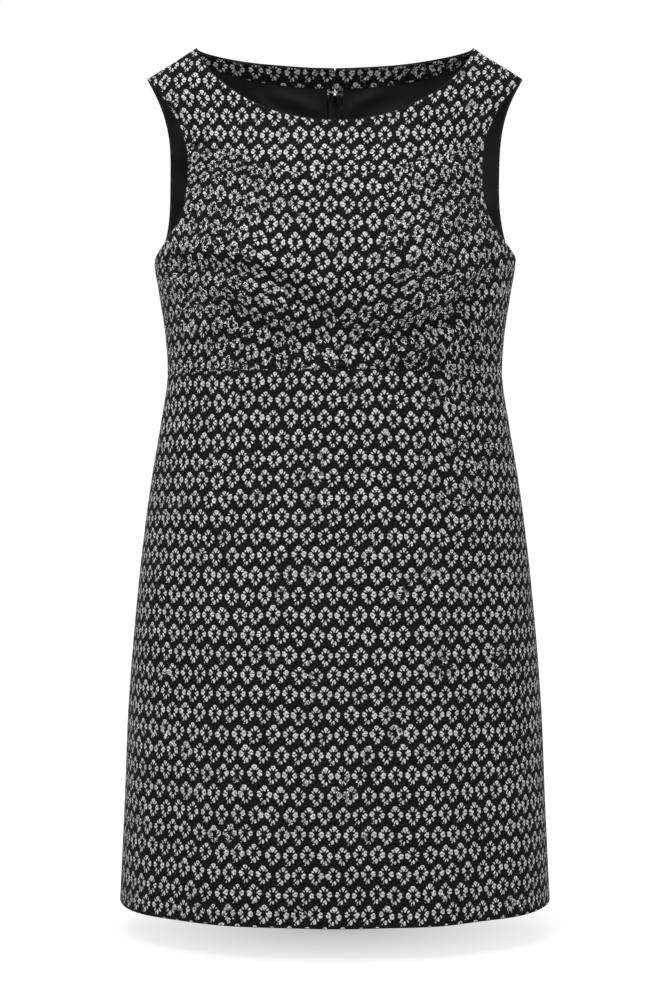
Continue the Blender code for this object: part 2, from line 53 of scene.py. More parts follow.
# %% Measures
BODY = "dress"
NECK_HALF = 0.1384
FRONT_NECK_DROP = 0.0886
FRONT_NECK_POINT = 4 / 3
BACK_NECK_DROP = 0.0045
SHOULDER_TIP_X, SHOULDER_TIP_Z = 0.187, -0.031
SHOULDER_SLOPE = -SHOULDER_TIP_Z / (SHOULDER_TIP_X - NECK_HALF)
UNDERARM_Z, EMPIRE_Z, ZIP_END_Z, HEM_Z = -0.2125, -0.328, -0.560, -0.8463
YOKE_END_Z = -0.103
BLADE_Z, BLADE_TURN = -0.142, math.radians(80)
ROLL = {"front": 0.150, "back": 0.160}
FACES = {"front": -1.0, "back": 1.0}
HALVES = (("left", 1.0), ("right", -1.0))
CLOTH, LINING, TAPE, GAP = 0.0016, 0.0010, 0.0008, 0.0003

# Columns: level, half widths front and back, depths front and back, how square the oval is
SECTIONS = np.array([
    (0.060, 0.2000, 0.2030, 0.0850, 0.0930, 2.00),
    (-0.005, 0.1970, 0.2020, 0.0860, 0.0974, 2.00),
    (-0.045, 0.1910, 0.2010, 0.0870, 0.1005, 2.00),
    (-0.0886, 0.1790, 0.1980, 0.0890, 0.1035, 2.00),
    (-0.142, 0.1685, 0.1925, 0.1120, 0.1055, 2.00),
    (-0.178, 0.1720, 0.1875, 0.1225, 0.1058, 2.02),
    (UNDERARM_Z, 0.1800, 0.1800, 0.1280, 0.1050, 2.04),
    (-0.245, 0.1755, 0.1755, 0.1285, 0.1025, 2.05),
    (-0.290, 0.1688, 0.1688, 0.1235, 0.0980, 2.06),
    (EMPIRE_Z, 0.1670, 0.1670, 0.1185, 0.0955, 2.07),
    (-0.375, 0.1736, 0.1736, 0.1200, 0.0960, 2.08),
    (-0.430, 0.1827, 0.1827, 0.1255, 0.1010, 2.10),
    (-0.495, 0.1914, 0.1914, 0.1340, 0.1110, 2.12),
    (ZIP_END_Z, 0.1981, 0.1981, 0.1415, 0.1225, 2.14),
    (-0.655, 0.2055, 0.2055, 0.1500, 0.1350, 2.16),
    (-0.750, 0.2093, 0.2093, 0.1550, 0.1430, 2.18),
    (HEM_Z, 0.2137, 0.2137, 0.1580, 0.1500, 2.20),
])
COLUMNS = {"front_half": 1, "back_half": 2, "front_depth": 3, "back_depth": 4, "square": 5}
YOKE_SEAM = np.array([
    (0.000, -0.1421), (0.031, -0.1416), (0.055, -0.1368), (0.070, -0.1305),
    (0.087, -0.1210), (0.110, -0.1140), (0.150, YOKE_END_Z + 0.001),
])
# Each armhole: its innermost half width, and how round its top and its base are
ARMHOLES = {"front": (0.1433, 1.8, 3.2), "back": (0.1680, 3.0, 2.7)}
ARMHOLE_MID_Z = (SHOULDER_TIP_Z + UNDERARM_Z) / 2
ARMHOLE_HALF = (SHOULDER_TIP_Z - UNDERARM_Z) / 2
print("measures set:", len(SECTIONS), "level sections")

# %% [markdown]
# ## One form under all the pieces
# A dressmaker's form gives every piece its roundness. Here it is a formula: a place seen from
# the front, (x, z), has one depth on the front of the form and one on the back. An oval gives
# the depth of each level, and a quarter turn rolls it over the shoulder. A formula is used
# because every layer can then be made from the same places, so seams always meet.

# %% A smooth curve through the sections
def smooth_curve(places, values, at):
    """A smooth curve through the values, with each tangent taken from both neighbours."""
    order = np.argsort(places)
    places, values = np.asarray(places)[order], np.asarray(values)[order]
    at = np.clip(at, places[0], places[-1])
    steps = np.diff(places)
    rises = np.diff(values) / steps
    slopes = np.empty(len(places))
    slopes[0], slopes[-1] = rises[0], rises[-1]
    slopes[1:-1] = (rises[:-1] * steps[1:] + rises[1:] * steps[:-1]) / (steps[:-1] + steps[1:])
    low = np.clip(np.searchsorted(places, at, side="right") - 1, 0, len(places) - 2)
    t = (at - places[low]) / steps[low]
    start = values[low] * (1 + 2 * t) * (1 - t) ** 2 + slopes[low] * steps[low] * t * (1 - t) ** 2
    end = values[low + 1] * t * t * (3 - 2 * t) + slopes[low + 1] * steps[low] * t * t * (t - 1)
    return start + end


def section(column, z):
    return smooth_curve(SECTIONS[:, 0], SECTIONS[:, COLUMNS[column]], z)


print("half width at the hem", round(float(section("front_half", HEM_Z)), 4), "m")

# %% The form
BUST_X, BUST_Z, BUST_SWELL = 0.080, -0.238, 0.013


def shoulder_height(x):
    x = np.abs(x)
    outside = -SHOULDER_SLOPE * (x - NECK_HALF)
    inside = SHOULDER_SLOPE * NECK_HALF / 2 * (1 - (x / NECK_HALF) ** 2)
    return np.where(x > NECK_HALF, outside, inside)


def depth_squared(side, x, z):
    half, square = section(side + "_half", z), section("square", z)
    depth = section(side + "_depth", z)
    if side == "front":
        bust = ((np.abs(x) - BUST_X) / 0.052) ** 2 + ((z - BUST_Z) / 0.048) ** 2
        depth = depth + BUST_SWELL * np.exp(-bust)
    oval = 1 - (np.abs(x) / half) ** square
    oval = np.sign(oval) * np.abs(oval) ** (2 / square)
    drop = np.minimum((shoulder_height(x) - z) / ROLL[side], 1.0)
    return depth * depth * oval * drop * (2 - drop)


def form_points(side, x, z):
    y = FACES[side] * np.sqrt(np.maximum(depth_squared(side, x, z), 0.0))
    return np.stack([x, y, z], axis=-1)


def form_normals(side, x, z, step=0.0004):
    across = (depth_squared(side, x + step, z) - depth_squared(side, x - step, z)) / (2 * step)
    down = (depth_squared(side, x, z + step) - depth_squared(side, x, z - step)) / (2 * step)
    normals = np.stack([-across, 2 * form_points(side, x, z)[..., 1], -down], axis=-1)
    return normals / np.linalg.norm(normals, axis=-1, keepdims=True)


bust = form_points("front", BUST_X, BUST_Z)
print("depth of the front at the bust", round(-float(bust[1]), 4), "m")

# %% [markdown]
# ## The outline of each cut piece
# A cut piece is a grid of places on the form. Its rows run across and its columns run down, and
# its first and last rows and columns are its cut edges. Extra rows lie close to an edge, because
# a seam pulls the cloth in over only a millimetre or two.

# %% Even rows, and the roll over the shoulder
def mix(first, second, share):
    return first + (second - first) * share


def graded(steps, length):
    """Shares from 0 to 1 in even steps, with three closer rows at each end for the seam."""
    near = np.array([0.0005, 0.0012, 0.0022]) / length
    inner = np.linspace(0, 1, steps + 1)
    inner = inner[(inner > near[-1] * 1.2) & (inner < 1 - near[-1] * 1.2)]
    return np.concatenate([[0], near, inner, 1 - near[::-1], [1]])


def roll_from_drop(side, x, z):
    drop = np.maximum(shoulder_height(x) - z, 0.0) / ROLL[side]
    upper = np.arccos(np.clip(1 - drop, -1, 1)) / (math.pi / 2)
    return np.where(drop < 1, upper, 1 + (drop - 1) * 2 / math.pi)


def place_from_roll(side, x, roll):
    drop = np.where(roll < 1, 1 - np.cos(roll * math.pi / 2), 1 + (roll - 1) * math.pi / 2)
    return x, shoulder_height(x) - ROLL[side] * drop


print("rows of a 60 mm band:", len(graded(30, 0.060)))


# %% Armhole, yoke seam and rows between them
def armhole_place(side, turn):
    inset, top_round, base_round = ARMHOLES[side]
    rise = np.cos(turn)
    end = np.where(rise > 0, section("front_half", UNDERARM_Z), SHOULDER_TIP_X)
    power = np.where(rise > 0, base_round, top_round)
    return inset + (end - inset) * np.abs(rise) ** power, ARMHOLE_MID_Z - ARMHOLE_HALF * rise


YOKE_TURN = math.acos((ARMHOLE_MID_Z - YOKE_END_Z) / ARMHOLE_HALF)


def yoke_seam_place(share):
    end_x, _ = armhole_place("front", YOKE_TURN)
    half = section("front_half", YOKE_END_Z)
    x = half * np.sin(share * np.arcsin(end_x / half))
    return x, smooth_curve(YOKE_SEAM[:, 0], YOKE_SEAM[:, 1], x)


def mirrored(x, z):
    """Half a piece, given from the centre out, and the same half across the centre line."""
    return np.concatenate([-x[:, :0:-1], x], axis=1), np.concatenate([z[:, :0:-1], z], axis=1)


def level_places(side, levels, shares):
    z = np.repeat(levels[:, None], len(shares), axis=1)
    return section(side + "_half", z) * np.sin(shares[None, :] * math.pi / 2), z


def chest_places(side, top_x, top_z, downs, first_turn):
    """Rows from a top row to the underarm level, each with its end on the armhole."""
    shares = np.linspace(0, 1, len(top_x)) if side == "front" else back_shares
    down = downs[:, None]
    end_x, end_z = armhole_place(side, first_turn * (1 - down))
    start = np.arcsin(top_x / section(side + "_half", top_z))[None, :]
    angle = mix(start, shares[None, :] * math.pi / 2, down)
    top_end = np.arcsin(top_x[-1] / section(side + "_half", top_z[-1]))
    end_angle = np.arcsin(np.minimum(end_x / section(side + "_half", end_z), 1.0))
    angle = angle + (end_angle - mix(top_end, math.pi / 2, down)) * shares[None, :]
    level = mix(top_z[None, :], UNDERARM_Z, down)
    level = level + (end_z - mix(top_z[-1], UNDERARM_Z, down)) * shares[None, :] ** 3
    x = section(side + "_half", level) * np.sin(angle)
    x[:, -1], level[:, -1] = end_x[:, 0], end_z[:, 0]
    return x, level


back_shares = np.concatenate([[0, 0.004, 0.010, 0.020], np.linspace(0.030, 1, 72)])
print("yoke seam ends at", [round(float(v), 4) for v in yoke_seam_place(1.0)])

# %% Places of the front pieces
YOKE_SEAM_SHARE = 10 / 14
SKIRT_ACROSS = 76


def front_yoke_places(across=96, down=30):
    shares = np.linspace(0, 1, across + 1)
    angle = shares * math.pi / 2
    near_x = NECK_HALF * np.sin(angle)
    near_z = -FRONT_NECK_DROP * np.maximum(np.cos(angle), 0) ** FRONT_NECK_POINT
    seam_x, seam_z = yoke_seam_place(np.minimum(shares / YOKE_SEAM_SHARE, 1))
    hole = np.clip((shares - YOKE_SEAM_SHARE) / (1 - YOKE_SEAM_SHARE), 0, 1)
    hole_x, hole_z = armhole_place("front", mix(YOKE_TURN, math.pi, hole))
    far_x = np.where(shares <= YOKE_SEAM_SHARE, seam_x, hole_x)
    far_z = np.where(shares <= YOKE_SEAM_SHARE, seam_z, hole_z)
    band = graded(down, 0.060)[:, None]
    near_roll = roll_from_drop("front", near_x, near_z)
    far_roll = roll_from_drop("front", far_x, far_z)
    x, z = place_from_roll("front", mix(near_x, far_x, band), mix(near_roll, far_roll, band))
    return mirrored(x, z)


def front_bodice_places(across=76, chest=28, low=44):
    shares = np.linspace(0, 1, across + 1)
    top_x, top_z = yoke_seam_place(shares)
    end_x, end_z = armhole_place("front", YOKE_TURN)
    top_x[-1], top_z[-1] = end_x, end_z
    downs = graded(chest, 0.075)
    x, z = chest_places("front", top_x, top_z, downs[downs < 0.95], YOKE_TURN)
    levels = mix(UNDERARM_Z, EMPIRE_Z, graded(low, 0.1155))
    low_x, low_z = level_places("front", levels[np.r_[0, 4:len(levels)]], shares)
    return mirrored(np.concatenate([x, low_x]), np.concatenate([z, low_z]))


def front_skirt_places(across=SKIRT_ACROSS, down=150):
    levels = mix(EMPIRE_Z, HEM_Z, graded(down, 0.52))
    return mirrored(*level_places("front", levels, np.linspace(0, 1, across + 1)))


for label, places in (("yoke", front_yoke_places), ("bodice", front_bodice_places),
                      ("skirt", front_skirt_places)):
    print(label, "grid", places()[0].shape)

# %% Places of the back
NECK_SHARE = 6 / 9


def centre_opening(z):
    """Half the gap at the centre back: the neck edges all but meet, and part round the slider."""
    return np.interp(z, [-0.046, -0.036, -0.029, -0.023, -0.0065, -BACK_NECK_DROP],
                     [0.00015, 0.0013, 0.0013, 0.0002, 0.0002, 0.0009])


def back_top_places():
    neck = np.minimum(back_shares * 9 / 6, 1)  # the neck takes 6 of every 9 columns
    neck_x = NECK_HALF * np.sin(neck * math.pi / 2)
    neck_z = -BACK_NECK_DROP * (1 - (neck_x / NECK_HALF) ** 2)
    tip = np.clip((back_shares - NECK_SHARE) * 3, 0, 1)
    x = np.where(back_shares <= NECK_SHARE, neck_x, mix(NECK_HALF, SHOULDER_TIP_X, tip))
    return x, np.where(back_shares <= NECK_SHARE, neck_z, shoulder_height(x))


def back_upper_places(downs):
    top_x, top_z = back_top_places()
    end_x, end_z = armhole_place("back", BLADE_TURN)
    end_angle = np.arcsin(end_x / section("back_half", end_z))
    blade_z = mix(BLADE_Z, end_z, back_shares**2)
    blade_x = section("back_half", blade_z) * np.sin(back_shares * end_angle)
    down = downs[:, None]
    edge_x, edge_z = armhole_place("back", mix(math.pi, BLADE_TURN, down))
    edge_roll = roll_from_drop("back", edge_x, edge_z)
    top_roll = roll_from_drop("back", top_x, top_z)
    blade_roll = roll_from_drop("back", blade_x, blade_z)
    pull = back_shares[None, :] ** 3
    x = mix(top_x, blade_x, down) + (edge_x - mix(top_x[-1], blade_x[-1], down)) * pull
    off = edge_roll - mix(top_roll[-1], blade_roll[-1], down)
    roll = mix(top_roll, blade_roll, down) + off * pull
    return *place_from_roll("back", x, roll), blade_x, blade_z


def back_places(end_z=HEM_Z, upper=64, lower=26, rows_per_metre=190 / 0.634):
    """Places of the left back from the neck and shoulder down to a level."""
    x, z, blade_x, blade_z = back_upper_places(graded(upper, 0.15)[:-4])
    downs = np.linspace(0, 1, lower + 1)[:-1]
    low_x, low_z = chest_places("back", blade_x, blade_z, downs, BLADE_TURN)
    span = UNDERARM_Z - end_z
    levels = mix(UNDERARM_Z, end_z, graded(int(rows_per_metre * span), span))
    side_x, side_z = level_places("back", levels[np.r_[0, 4:len(levels)]], back_shares)
    x, z = np.concatenate([x, low_x, side_x]), np.concatenate([z, low_z, side_z])
    return np.maximum(x, centre_opening(z)), z


print("back grid", back_places()[0].shape)

# %% [markdown]
# ## The grain of the cloth
# The woven rows follow the cloth and not the view, so each place needs its position along the
# weft and the warp. These are measured on the form itself: round each level from the centre
# line, and down from the shoulder. The result becomes a UV map in metres, so that the pattern
# keeps its real size on every piece.

# %% Measuring along the grain
ANGLES = np.linspace(0, math.pi / 2, 241)
GIRTH_LEVELS = np.linspace(0.0, HEM_Z, 240)
GRAIN_Z = -0.20
DROP_X = np.linspace(0, 0.200, 101)
DROP_Z = np.linspace(GRAIN_Z, 0.052, 253)


def running_length(points, axis):
    steps = np.linalg.norm(np.diff(points, axis=axis), axis=-1)
    start = np.zeros_like(np.take(steps, [0], axis=axis))
    return np.concatenate([start, np.cumsum(steps, axis=axis)], axis=axis)


def table_value(table, first, second, at_first, at_second):
    """A value read from a table between its rows and columns."""
    row = np.clip(np.interp(at_first, first, np.arange(len(first))), 0, len(first) - 1.001)
    column = np.clip(np.interp(at_second, second, np.arange(len(second))), 0, len(second) - 1.001)
    i, j = row.astype(int), column.astype(int)
    a, b = row - i, column - j
    top = table[i, j] * (1 - b) + table[i, j + 1] * b
    return top * (1 - a) + (table[i + 1, j] * (1 - b) + table[i + 1, j + 1] * b) * a


def make_tables(side):
    level = GIRTH_LEVELS[::-1][:, None] + 0 * ANGLES[None, :]
    x = section(side + "_half", level) * np.sin(ANGLES)[None, :]
    flat = form_points(side, x, np.minimum(level, UNDERARM_Z))
    girth = running_length(np.stack([x, flat[..., 1], 0 * x], axis=-1), 1)
    z = DROP_Z[:, None] + 0 * DROP_X[None, :]
    drop = running_length(form_points(side, 0 * z + DROP_X[None, :], z), 0)
    return girth, drop - drop[:1]


TABLES = {side: make_tables(side) for side in FACES}


def grain_of(side, x, z):
    """Distance round from the centre line, and height above GRAIN_Z, both along the cloth."""
    girth, drop = TABLES[side]
    angle = np.arcsin(np.clip(np.abs(x) / section(side + "_half", z), 0, 1))
    round_x = np.sign(x) * table_value(girth, GIRTH_LEVELS[::-1], ANGLES, z, angle)
    near = np.minimum(np.abs(x), DROP_X[-1] - 0.001)
    rise = table_value(drop, DROP_Z, DROP_X, np.maximum(z, GRAIN_Z), near)
    return round_x, np.where(z > GRAIN_Z, rise, z - GRAIN_Z)


half_hem, _ = grain_of("front", np.array(0.2136), np.array(HEM_Z))
print("half hem, front:", round(float(half_hem), 3), "m")

# %% [markdown]
# ## Folds
# Cloth on a body is never smooth. Soft diagonal folds run from the underarms to the hollow under
# the bust, the yoke seam pulls two short breaks, and the skirt falls in slow waves. Each fold
# is a stroke on the form: a line of places, a half width and a height, soft at both ends.
# Listed strokes keep the folds where a dress of this cut has them, which a simulation
# would move about.

# %% A fold stroke
def stroke_height(x, z, line, half_width, height, shoulder=0.35):
    """The height of one fold at each place: its crest, and a lower counter-fold on each side."""
    line = np.array(line)
    best = np.full(x.shape, 1e9)
    along = np.zeros(x.shape)
    lengths = np.linalg.norm(np.diff(line, axis=0), axis=1)
    total, walked = lengths.sum(), 0.0
    for start, end, length in zip(line[:-1], line[1:], lengths):
        run = (end - start) / length
        t = np.clip((x - start[0]) * run[0] + (z - start[1]) * run[1], 0, length)
        away = np.hypot(x - start[0] - t * run[0], z - start[1] - t * run[1])
        closer = away < best
        best, along = np.where(closer, away, best), np.where(closer, (walked + t) / total, along)
        walked += length
    d = best / half_width
    crest = np.exp(-d * d) - shoulder * np.exp(-(((d - 2.0) / 0.9) ** 2))
    return height * crest * np.clip(4 * along * (1 - along), 0.0, 1) ** 0.5


trial = stroke_height(np.zeros(1), np.zeros(1), [(-0.01, 0), (0.01, 0)], 0.005, 0.001)
print("crest of a 1 mm fold:", round(float(trial[0]) * 1000, 3), "mm")


# %% Slow waves
def slow_waves(x, z, seed, spacing, height, count=7):
    """A few wide ripples in fixed but uneven directions."""
    source = np.random.default_rng(seed)
    total = np.zeros(x.shape)
    for _ in range(count):
        direction = source.uniform(0, math.pi)
        length = spacing * source.uniform(0.6, 1.7)
        phase = source.uniform(0, 2 * math.pi)
        along = x * math.cos(direction) + z * math.sin(direction)
        total += np.sin(along * 2 * math.pi / length + phase)
    return height * total / math.sqrt(count)


def ramp(value, start, end):
    t = np.clip((value - start) / (end - start), 0, 1)
    return t * t * (3 - 2 * t)


trial = slow_waves(np.linspace(-0.2, 0.2, 99), np.zeros(99), 5, 0.075, 0.0006)
print("slow waves stand up to", round(float(np.abs(trial).max()) * 1000, 2), "mm off the form")

# %% The folds of this dress
# Each fold: its line of places, its half width and its height; below 0 it is a valley
FRONT_FOLDS = [
    # under the bust, from each underarm to the hollow
    ([(-0.168, -0.221), (-0.123, -0.229), (-0.077, -0.239), (-0.045, -0.253), (-0.023, -0.269),
      (-0.007, -0.287)], 0.0080, -0.0046),
    ([(0.157, -0.224), (0.139, -0.247), (0.112, -0.274), (0.080, -0.289), (0.047, -0.298),
      (0.010, -0.300)], 0.0085, -0.0048),
    ([(0.128, -0.291), (0.100, -0.3015), (0.062, -0.3135), (0.030, -0.3220)], 0.0060, 0.0032),
    ([(0.116, -0.304), (0.090, -0.3115), (0.062, -0.3215), (0.036, -0.3265)], 0.0045, -0.0024),
    ([(-0.120, -0.262), (-0.090, -0.276), (-0.055, -0.296), (-0.022, -0.312)], 0.0070, -0.0028),
    ([(-0.0777, -0.2602), (-0.0702, -0.2686), (-0.0684, -0.2768)], 0.0035, -0.0012),
    ([(-0.0232, -0.2571), (-0.0158, -0.2699), (-0.0064, -0.2865)], 0.0035, -0.0014),
    # from the yoke seam
    ([(-0.086, -0.124), (-0.069, -0.138), (-0.0565, -0.159), (-0.0497, -0.172), (-0.0487, -0.184)],
     0.0060, -0.0017),
    ([(0.062, -0.1385), (0.0588, -0.147), (0.056, -0.156), (0.054, -0.167), (0.0528, -0.178)],
     0.0060, -0.0017),
    # at the sides of the waist
    ([(-0.158, -0.290), (-0.140, -0.300), (-0.115, -0.318)], 0.0055, -0.0014),
    ([(0.160, -0.300), (0.146, -0.310), (0.130, -0.322)], 0.0050, -0.0013),
]
SKIRT_FOLDS = [
    # the two darts
    ([(0.0903, -0.325), (0.094, -0.385), (0.0976, -0.433), (0.101, -0.489), (0.1043, -0.555)],
     0.0040, -0.0006),
    ([(-0.0903, -0.325), (-0.094, -0.385), (-0.098, -0.440), (-0.103, -0.520)], 0.0040, -0.0004),
    # a slow fold of the skirt, and one at each side below the seam
    ([(-0.054, -0.556), (-0.0583, -0.619), (-0.0619, -0.674), (-0.0674, -0.734)], 0.0080, -0.0012),
    ([(0.155, -0.345), (0.120, -0.352), (0.080, -0.362)], 0.0075, -0.0014),
    ([(-0.150, -0.350), (-0.112, -0.362), (-0.060, -0.370)], 0.0080, -0.0013),
]
BACK_FOLDS = [
    ([(0.160, -0.232), (0.120, -0.246), (0.080, -0.262), (0.036, -0.268)], 0.0090, -0.0022),
    ([(-0.162, -0.236), (-0.118, -0.256), (-0.070, -0.280), (-0.030, -0.300)], 0.0090, -0.0024),
    ([(0.150, -0.300), (0.110, -0.316), (0.066, -0.322), (0.030, -0.338)], 0.0075, -0.0026),
    ([(-0.152, -0.312), (-0.112, -0.322), (-0.076, -0.342), (-0.034, -0.350)], 0.0080, -0.0022),
    ([(0.156, -0.362), (0.112, -0.366), (0.060, -0.384)], 0.0085, -0.0018),
    ([(-0.150, -0.372), (-0.104, -0.386), (-0.066, -0.388)], 0.0080, -0.0020),
    ([(0.078, -0.062), (0.092, -0.092), (0.118, -0.122)], 0.0080, -0.0014),
    ([(-0.070, -0.056), (-0.090, -0.084), (-0.124, -0.108)], 0.0085, -0.0015),
    ([(0.074, -0.420), (0.080, -0.520), (0.092, -0.650), (0.098, -0.800)], 0.0150, -0.0022),
    ([(-0.060, -0.440), (-0.074, -0.560), (-0.080, -0.700), (-0.092, -0.830)], 0.0160, -0.0024),
]


FOLDS = {"front": FRONT_FOLDS + SKIRT_FOLDS, "back": BACK_FOLDS}
WAVE_SEED = {"front": 5, "back": 9}
FOLD_GAIN = 1.5


def fold_height(side, x, z):
    """How far the cloth stands off the form at each place."""
    total = slow_waves(x, z, WAVE_SEED[side], 0.075, 0.0006)
    for line, half_width, height in FOLDS[side]:
        total = total + FOLD_GAIN * stroke_height(x, z, line, half_width, height)
    if side == "front":
        hollow = ((x + 0.004) / 0.030) ** 2 + ((z + 0.287) / 0.020) ** 2
        under_bust = ((z + 0.306) / 0.024) ** 2 + (x / 0.105) ** 4
        total = total - 0.0060 * np.exp(-hollow) - 0.0065 * np.exp(-under_bust)
    angle = np.arcsin(np.clip(x / section(side + "_half", z), -1, 1))
    swing = 0.6 * np.sin(5 * angle + 0.8) + np.sin(8 * angle - 1.1) + 0.7 * np.sin(13 * angle + 2.0)
    total = total + 0.0011 * swing * ramp(z, -0.42, -0.72)
    if side == "back":
        total = total * ramp(np.abs(x), 0.010, 0.034)  # flat beside the zip
    at_side = ramp(np.abs(x) / section(side + "_half", z), 0.985, 0.93)
    return total * np.where(z < UNDERARM_Z, at_side, 1.0)


print("fold strokes:", {side: len(folds) for side, folds in FOLDS.items()})

# %% [markdown]
# ## The jacquard
# The figure is woven in: small open florets of pale thread on a near-black ground, in rows that
# step half a pitch. It could be painted, but a drawn figure in nodes stays sharp at any distance
# and holds no picture. A group finds the cell that a place is in, then measures how deep the
# place lies in each petal, an oval with its own centre, size and tilt. Each floret varies, and
# where the cloth is worn its floats pull loose: the petals wander, thin out and show a rim.

# %% A small kit for node groups
def new_group(name, inputs, outputs):
    """A shader node group with named sockets: (name, kind, default) for each input."""
    group = bpy.data.node_groups.new(name, "ShaderNodeTree")
    for label, kind, default in inputs:
        socket = group.interface.new_socket(label, in_out="INPUT", socket_type="NodeSocket" + kind)
        if default is not None:
            socket.default_value = default
    for label, kind in outputs:
        group.interface.new_socket(label, in_out="OUTPUT", socket_type="NodeSocket" + kind)
    return group, group.nodes.new("NodeGroupInput"), group.nodes.new("NodeGroupOutput")


def feed(tree, socket, value):
    if isinstance(value, bpy.types.NodeSocket):
        tree.links.new(value, socket)
    else:
        socket.default_value = value


def split_node(tree, vector):
    """The three numbers of a vector."""
    node = tree.nodes.new("ShaderNodeSeparateXYZ")
    feed(tree, node.inputs[0], vector)
    return node.outputs


def join_node(tree, *values):
    """A vector from up to three numbers."""
    node = tree.nodes.new("ShaderNodeCombineXYZ")
    for socket, value in zip(node.inputs, values):
        feed(tree, socket, value)
    return node.outputs[0]


def math_node(tree, operation, *values):
    node = tree.nodes.new("ShaderNodeMath")
    node.operation = operation
    for socket, value in zip(node.inputs, values):
        feed(tree, socket, value)
    return node.outputs[0]


def vector_node(tree, operation, *values):
    node = tree.nodes.new("ShaderNodeVectorMath")
    node.operation = operation
    for socket, value in zip(node.inputs, values):
        feed(tree, socket, value)
    return node.outputs["Value"] if operation == "LENGTH" else node.outputs["Vector"]


def noise_node(tree, vector, scale, detail=2.0, rough=0.5):
    node = tree.nodes.new("ShaderNodeTexNoise")
    feed(tree, node.inputs["Vector"], vector)
    node.inputs["Scale"].default_value = scale
    node.inputs["Detail"].default_value = detail
    node.inputs["Roughness"].default_value = rough
    return node


def remap(tree, value, low, high, to_low=0.0, to_high=1.0, smooth=False):
    node = tree.nodes.new("ShaderNodeMapRange")
    node.interpolation_type = "SMOOTHSTEP" if smooth else "LINEAR"
    for socket, given in zip(node.inputs, (value, low, high, to_low, to_high)):
        feed(tree, socket, given)
    return node.outputs[0]


def mix_colour(tree, share, first, second, blend="MIX"):
    node = tree.nodes.new("ShaderNodeMix")
    node.data_type, node.blend_type = "RGBA", blend
    feed(tree, node.inputs[0], share)
    feed(tree, node.inputs[6], first)
    feed(tree, node.inputs[7], second)
    return node.outputs[2]


print("node groups so far:", len(bpy.data.node_groups))

# %% The petals of one floret
# Each petal: centre x and y, half width, half height, in millimetres, tilt in degrees, and
# which of the floret's chance values grows or shrinks it
PETALS = [
    (0.0, 6.1, 2.2, 1.75, 0, 0), (0.0, 4.3, 0.8, 1.2, 0, 0),
    (-2.9, 3.9, 0.75, 1.45, 38, 4), (2.9, 3.9, 0.75, 1.45, -38, 5),
    (-4.9, 1.2, 1.75, 1.45, 25, 1), (-4.8, -1.2, 1.85, 1.35, -20, 4), (-3.1, 0.1, 1.2, 1.0, 0, 1),
    (4.9, 1.2, 1.75, 1.45, -25, 2), (4.8, -1.2, 1.85, 1.35, 20, 5), (3.1, 0.1, 1.2, 1.0, 0, 2),
    (-2.9, -4.2, 0.80, 1.85, -32, 5), (2.9, -4.2, 0.85, 1.85, 32, 4),
    (0.1, -6.4, 1.15, 2.2, 5, 3), (-1.9, -6.6, 0.45, 1.2, -18, 1), (-2.6, -8.6, 0.8, 0.6, 20, 1),
]
DARK_THREADS = [
    (0.1, 6.2, 0.5, 0.5, 0, 4), (-5.0, 0.1, 1.6, 0.32, -8, 2), (5.0, 0.1, 1.6, 0.32, 8, 1),
    (-2.2, 2.3, 1.5, 0.45, -30, 0), (2.2, 2.3, 1.5, 0.45, 30, 0),
]


def deepest(tree, local, chances, ovals):
    """The least distance into any of the ovals: under 1 is inside."""
    found = None
    for x, y, half_x, half_y, tilt, chance in ovals:
        place = tree.nodes.new("ShaderNodeMapping")
        place.vector_type = "TEXTURE"
        feed(tree, place.inputs["Vector"], local)
        place.inputs["Location"].default_value = (x, y, 0)
        place.inputs["Rotation"].default_value = (0, 0, math.radians(tilt))
        place.inputs["Scale"].default_value = (half_x, half_y, 1)
        reach = vector_node(tree, "LENGTH", place.outputs[0])
        reach = math_node(tree, "MULTIPLY", reach, chances[chance])
        found = reach if found is None else math_node(tree, "MINIMUM", found, reach)
    return found


print("petals:", len(PETALS), "and dark threads:", len(DARK_THREADS))

# %% Where a place lies in its own floret
LEAST, MOST = 0.78, 1.18
MIDDLE = (LEAST + MOST) / 2
TURN_SPREAD, SHIFT_SPREAD = 0.9, 3.0
FLORET_SCALE = 965.0  # millimetres drawn for each metre of cloth


def pulled_grain(tree, grain, tired):
    """The grain with its threads pulled a little everywhere, and more in the tired patches."""
    moved = grain
    for fineness, always, when_tired in ((700.0, 0.0013, 0.0), (280.0, 0.0004, 0.0054)):
        wander = noise_node(tree, grain, fineness, 1.0).outputs["Color"]
        wander = vector_node(tree, "SUBTRACT", wander, (0.5, 0.5, 0.5))
        pulled = math_node(tree, "ADD", math_node(tree, "MULTIPLY", tired, when_tired), always)
        wander = vector_node(tree, "MULTIPLY", wander, join_node(tree, pulled, pulled))
        moved = vector_node(tree, "ADD", moved, wander)
    return moved


def floret_chances(tree, cell):
    """Six chance values for the floret of a cell."""
    chances = []
    for shift in (0.0, 37.0):
        chance = tree.nodes.new("ShaderNodeTexWhiteNoise")
        chance.noise_dimensions = "3D"
        feed(tree, chance.inputs["Vector"], vector_node(tree, "ADD", cell, (0, 0, shift)))
        parts = tree.nodes.new("ShaderNodeSeparateColor")
        feed(tree, parts.inputs[0], chance.outputs["Color"])
        chances += [remap(tree, part, 0, 1, LEAST, MOST) for part in parts.outputs]
    return chances


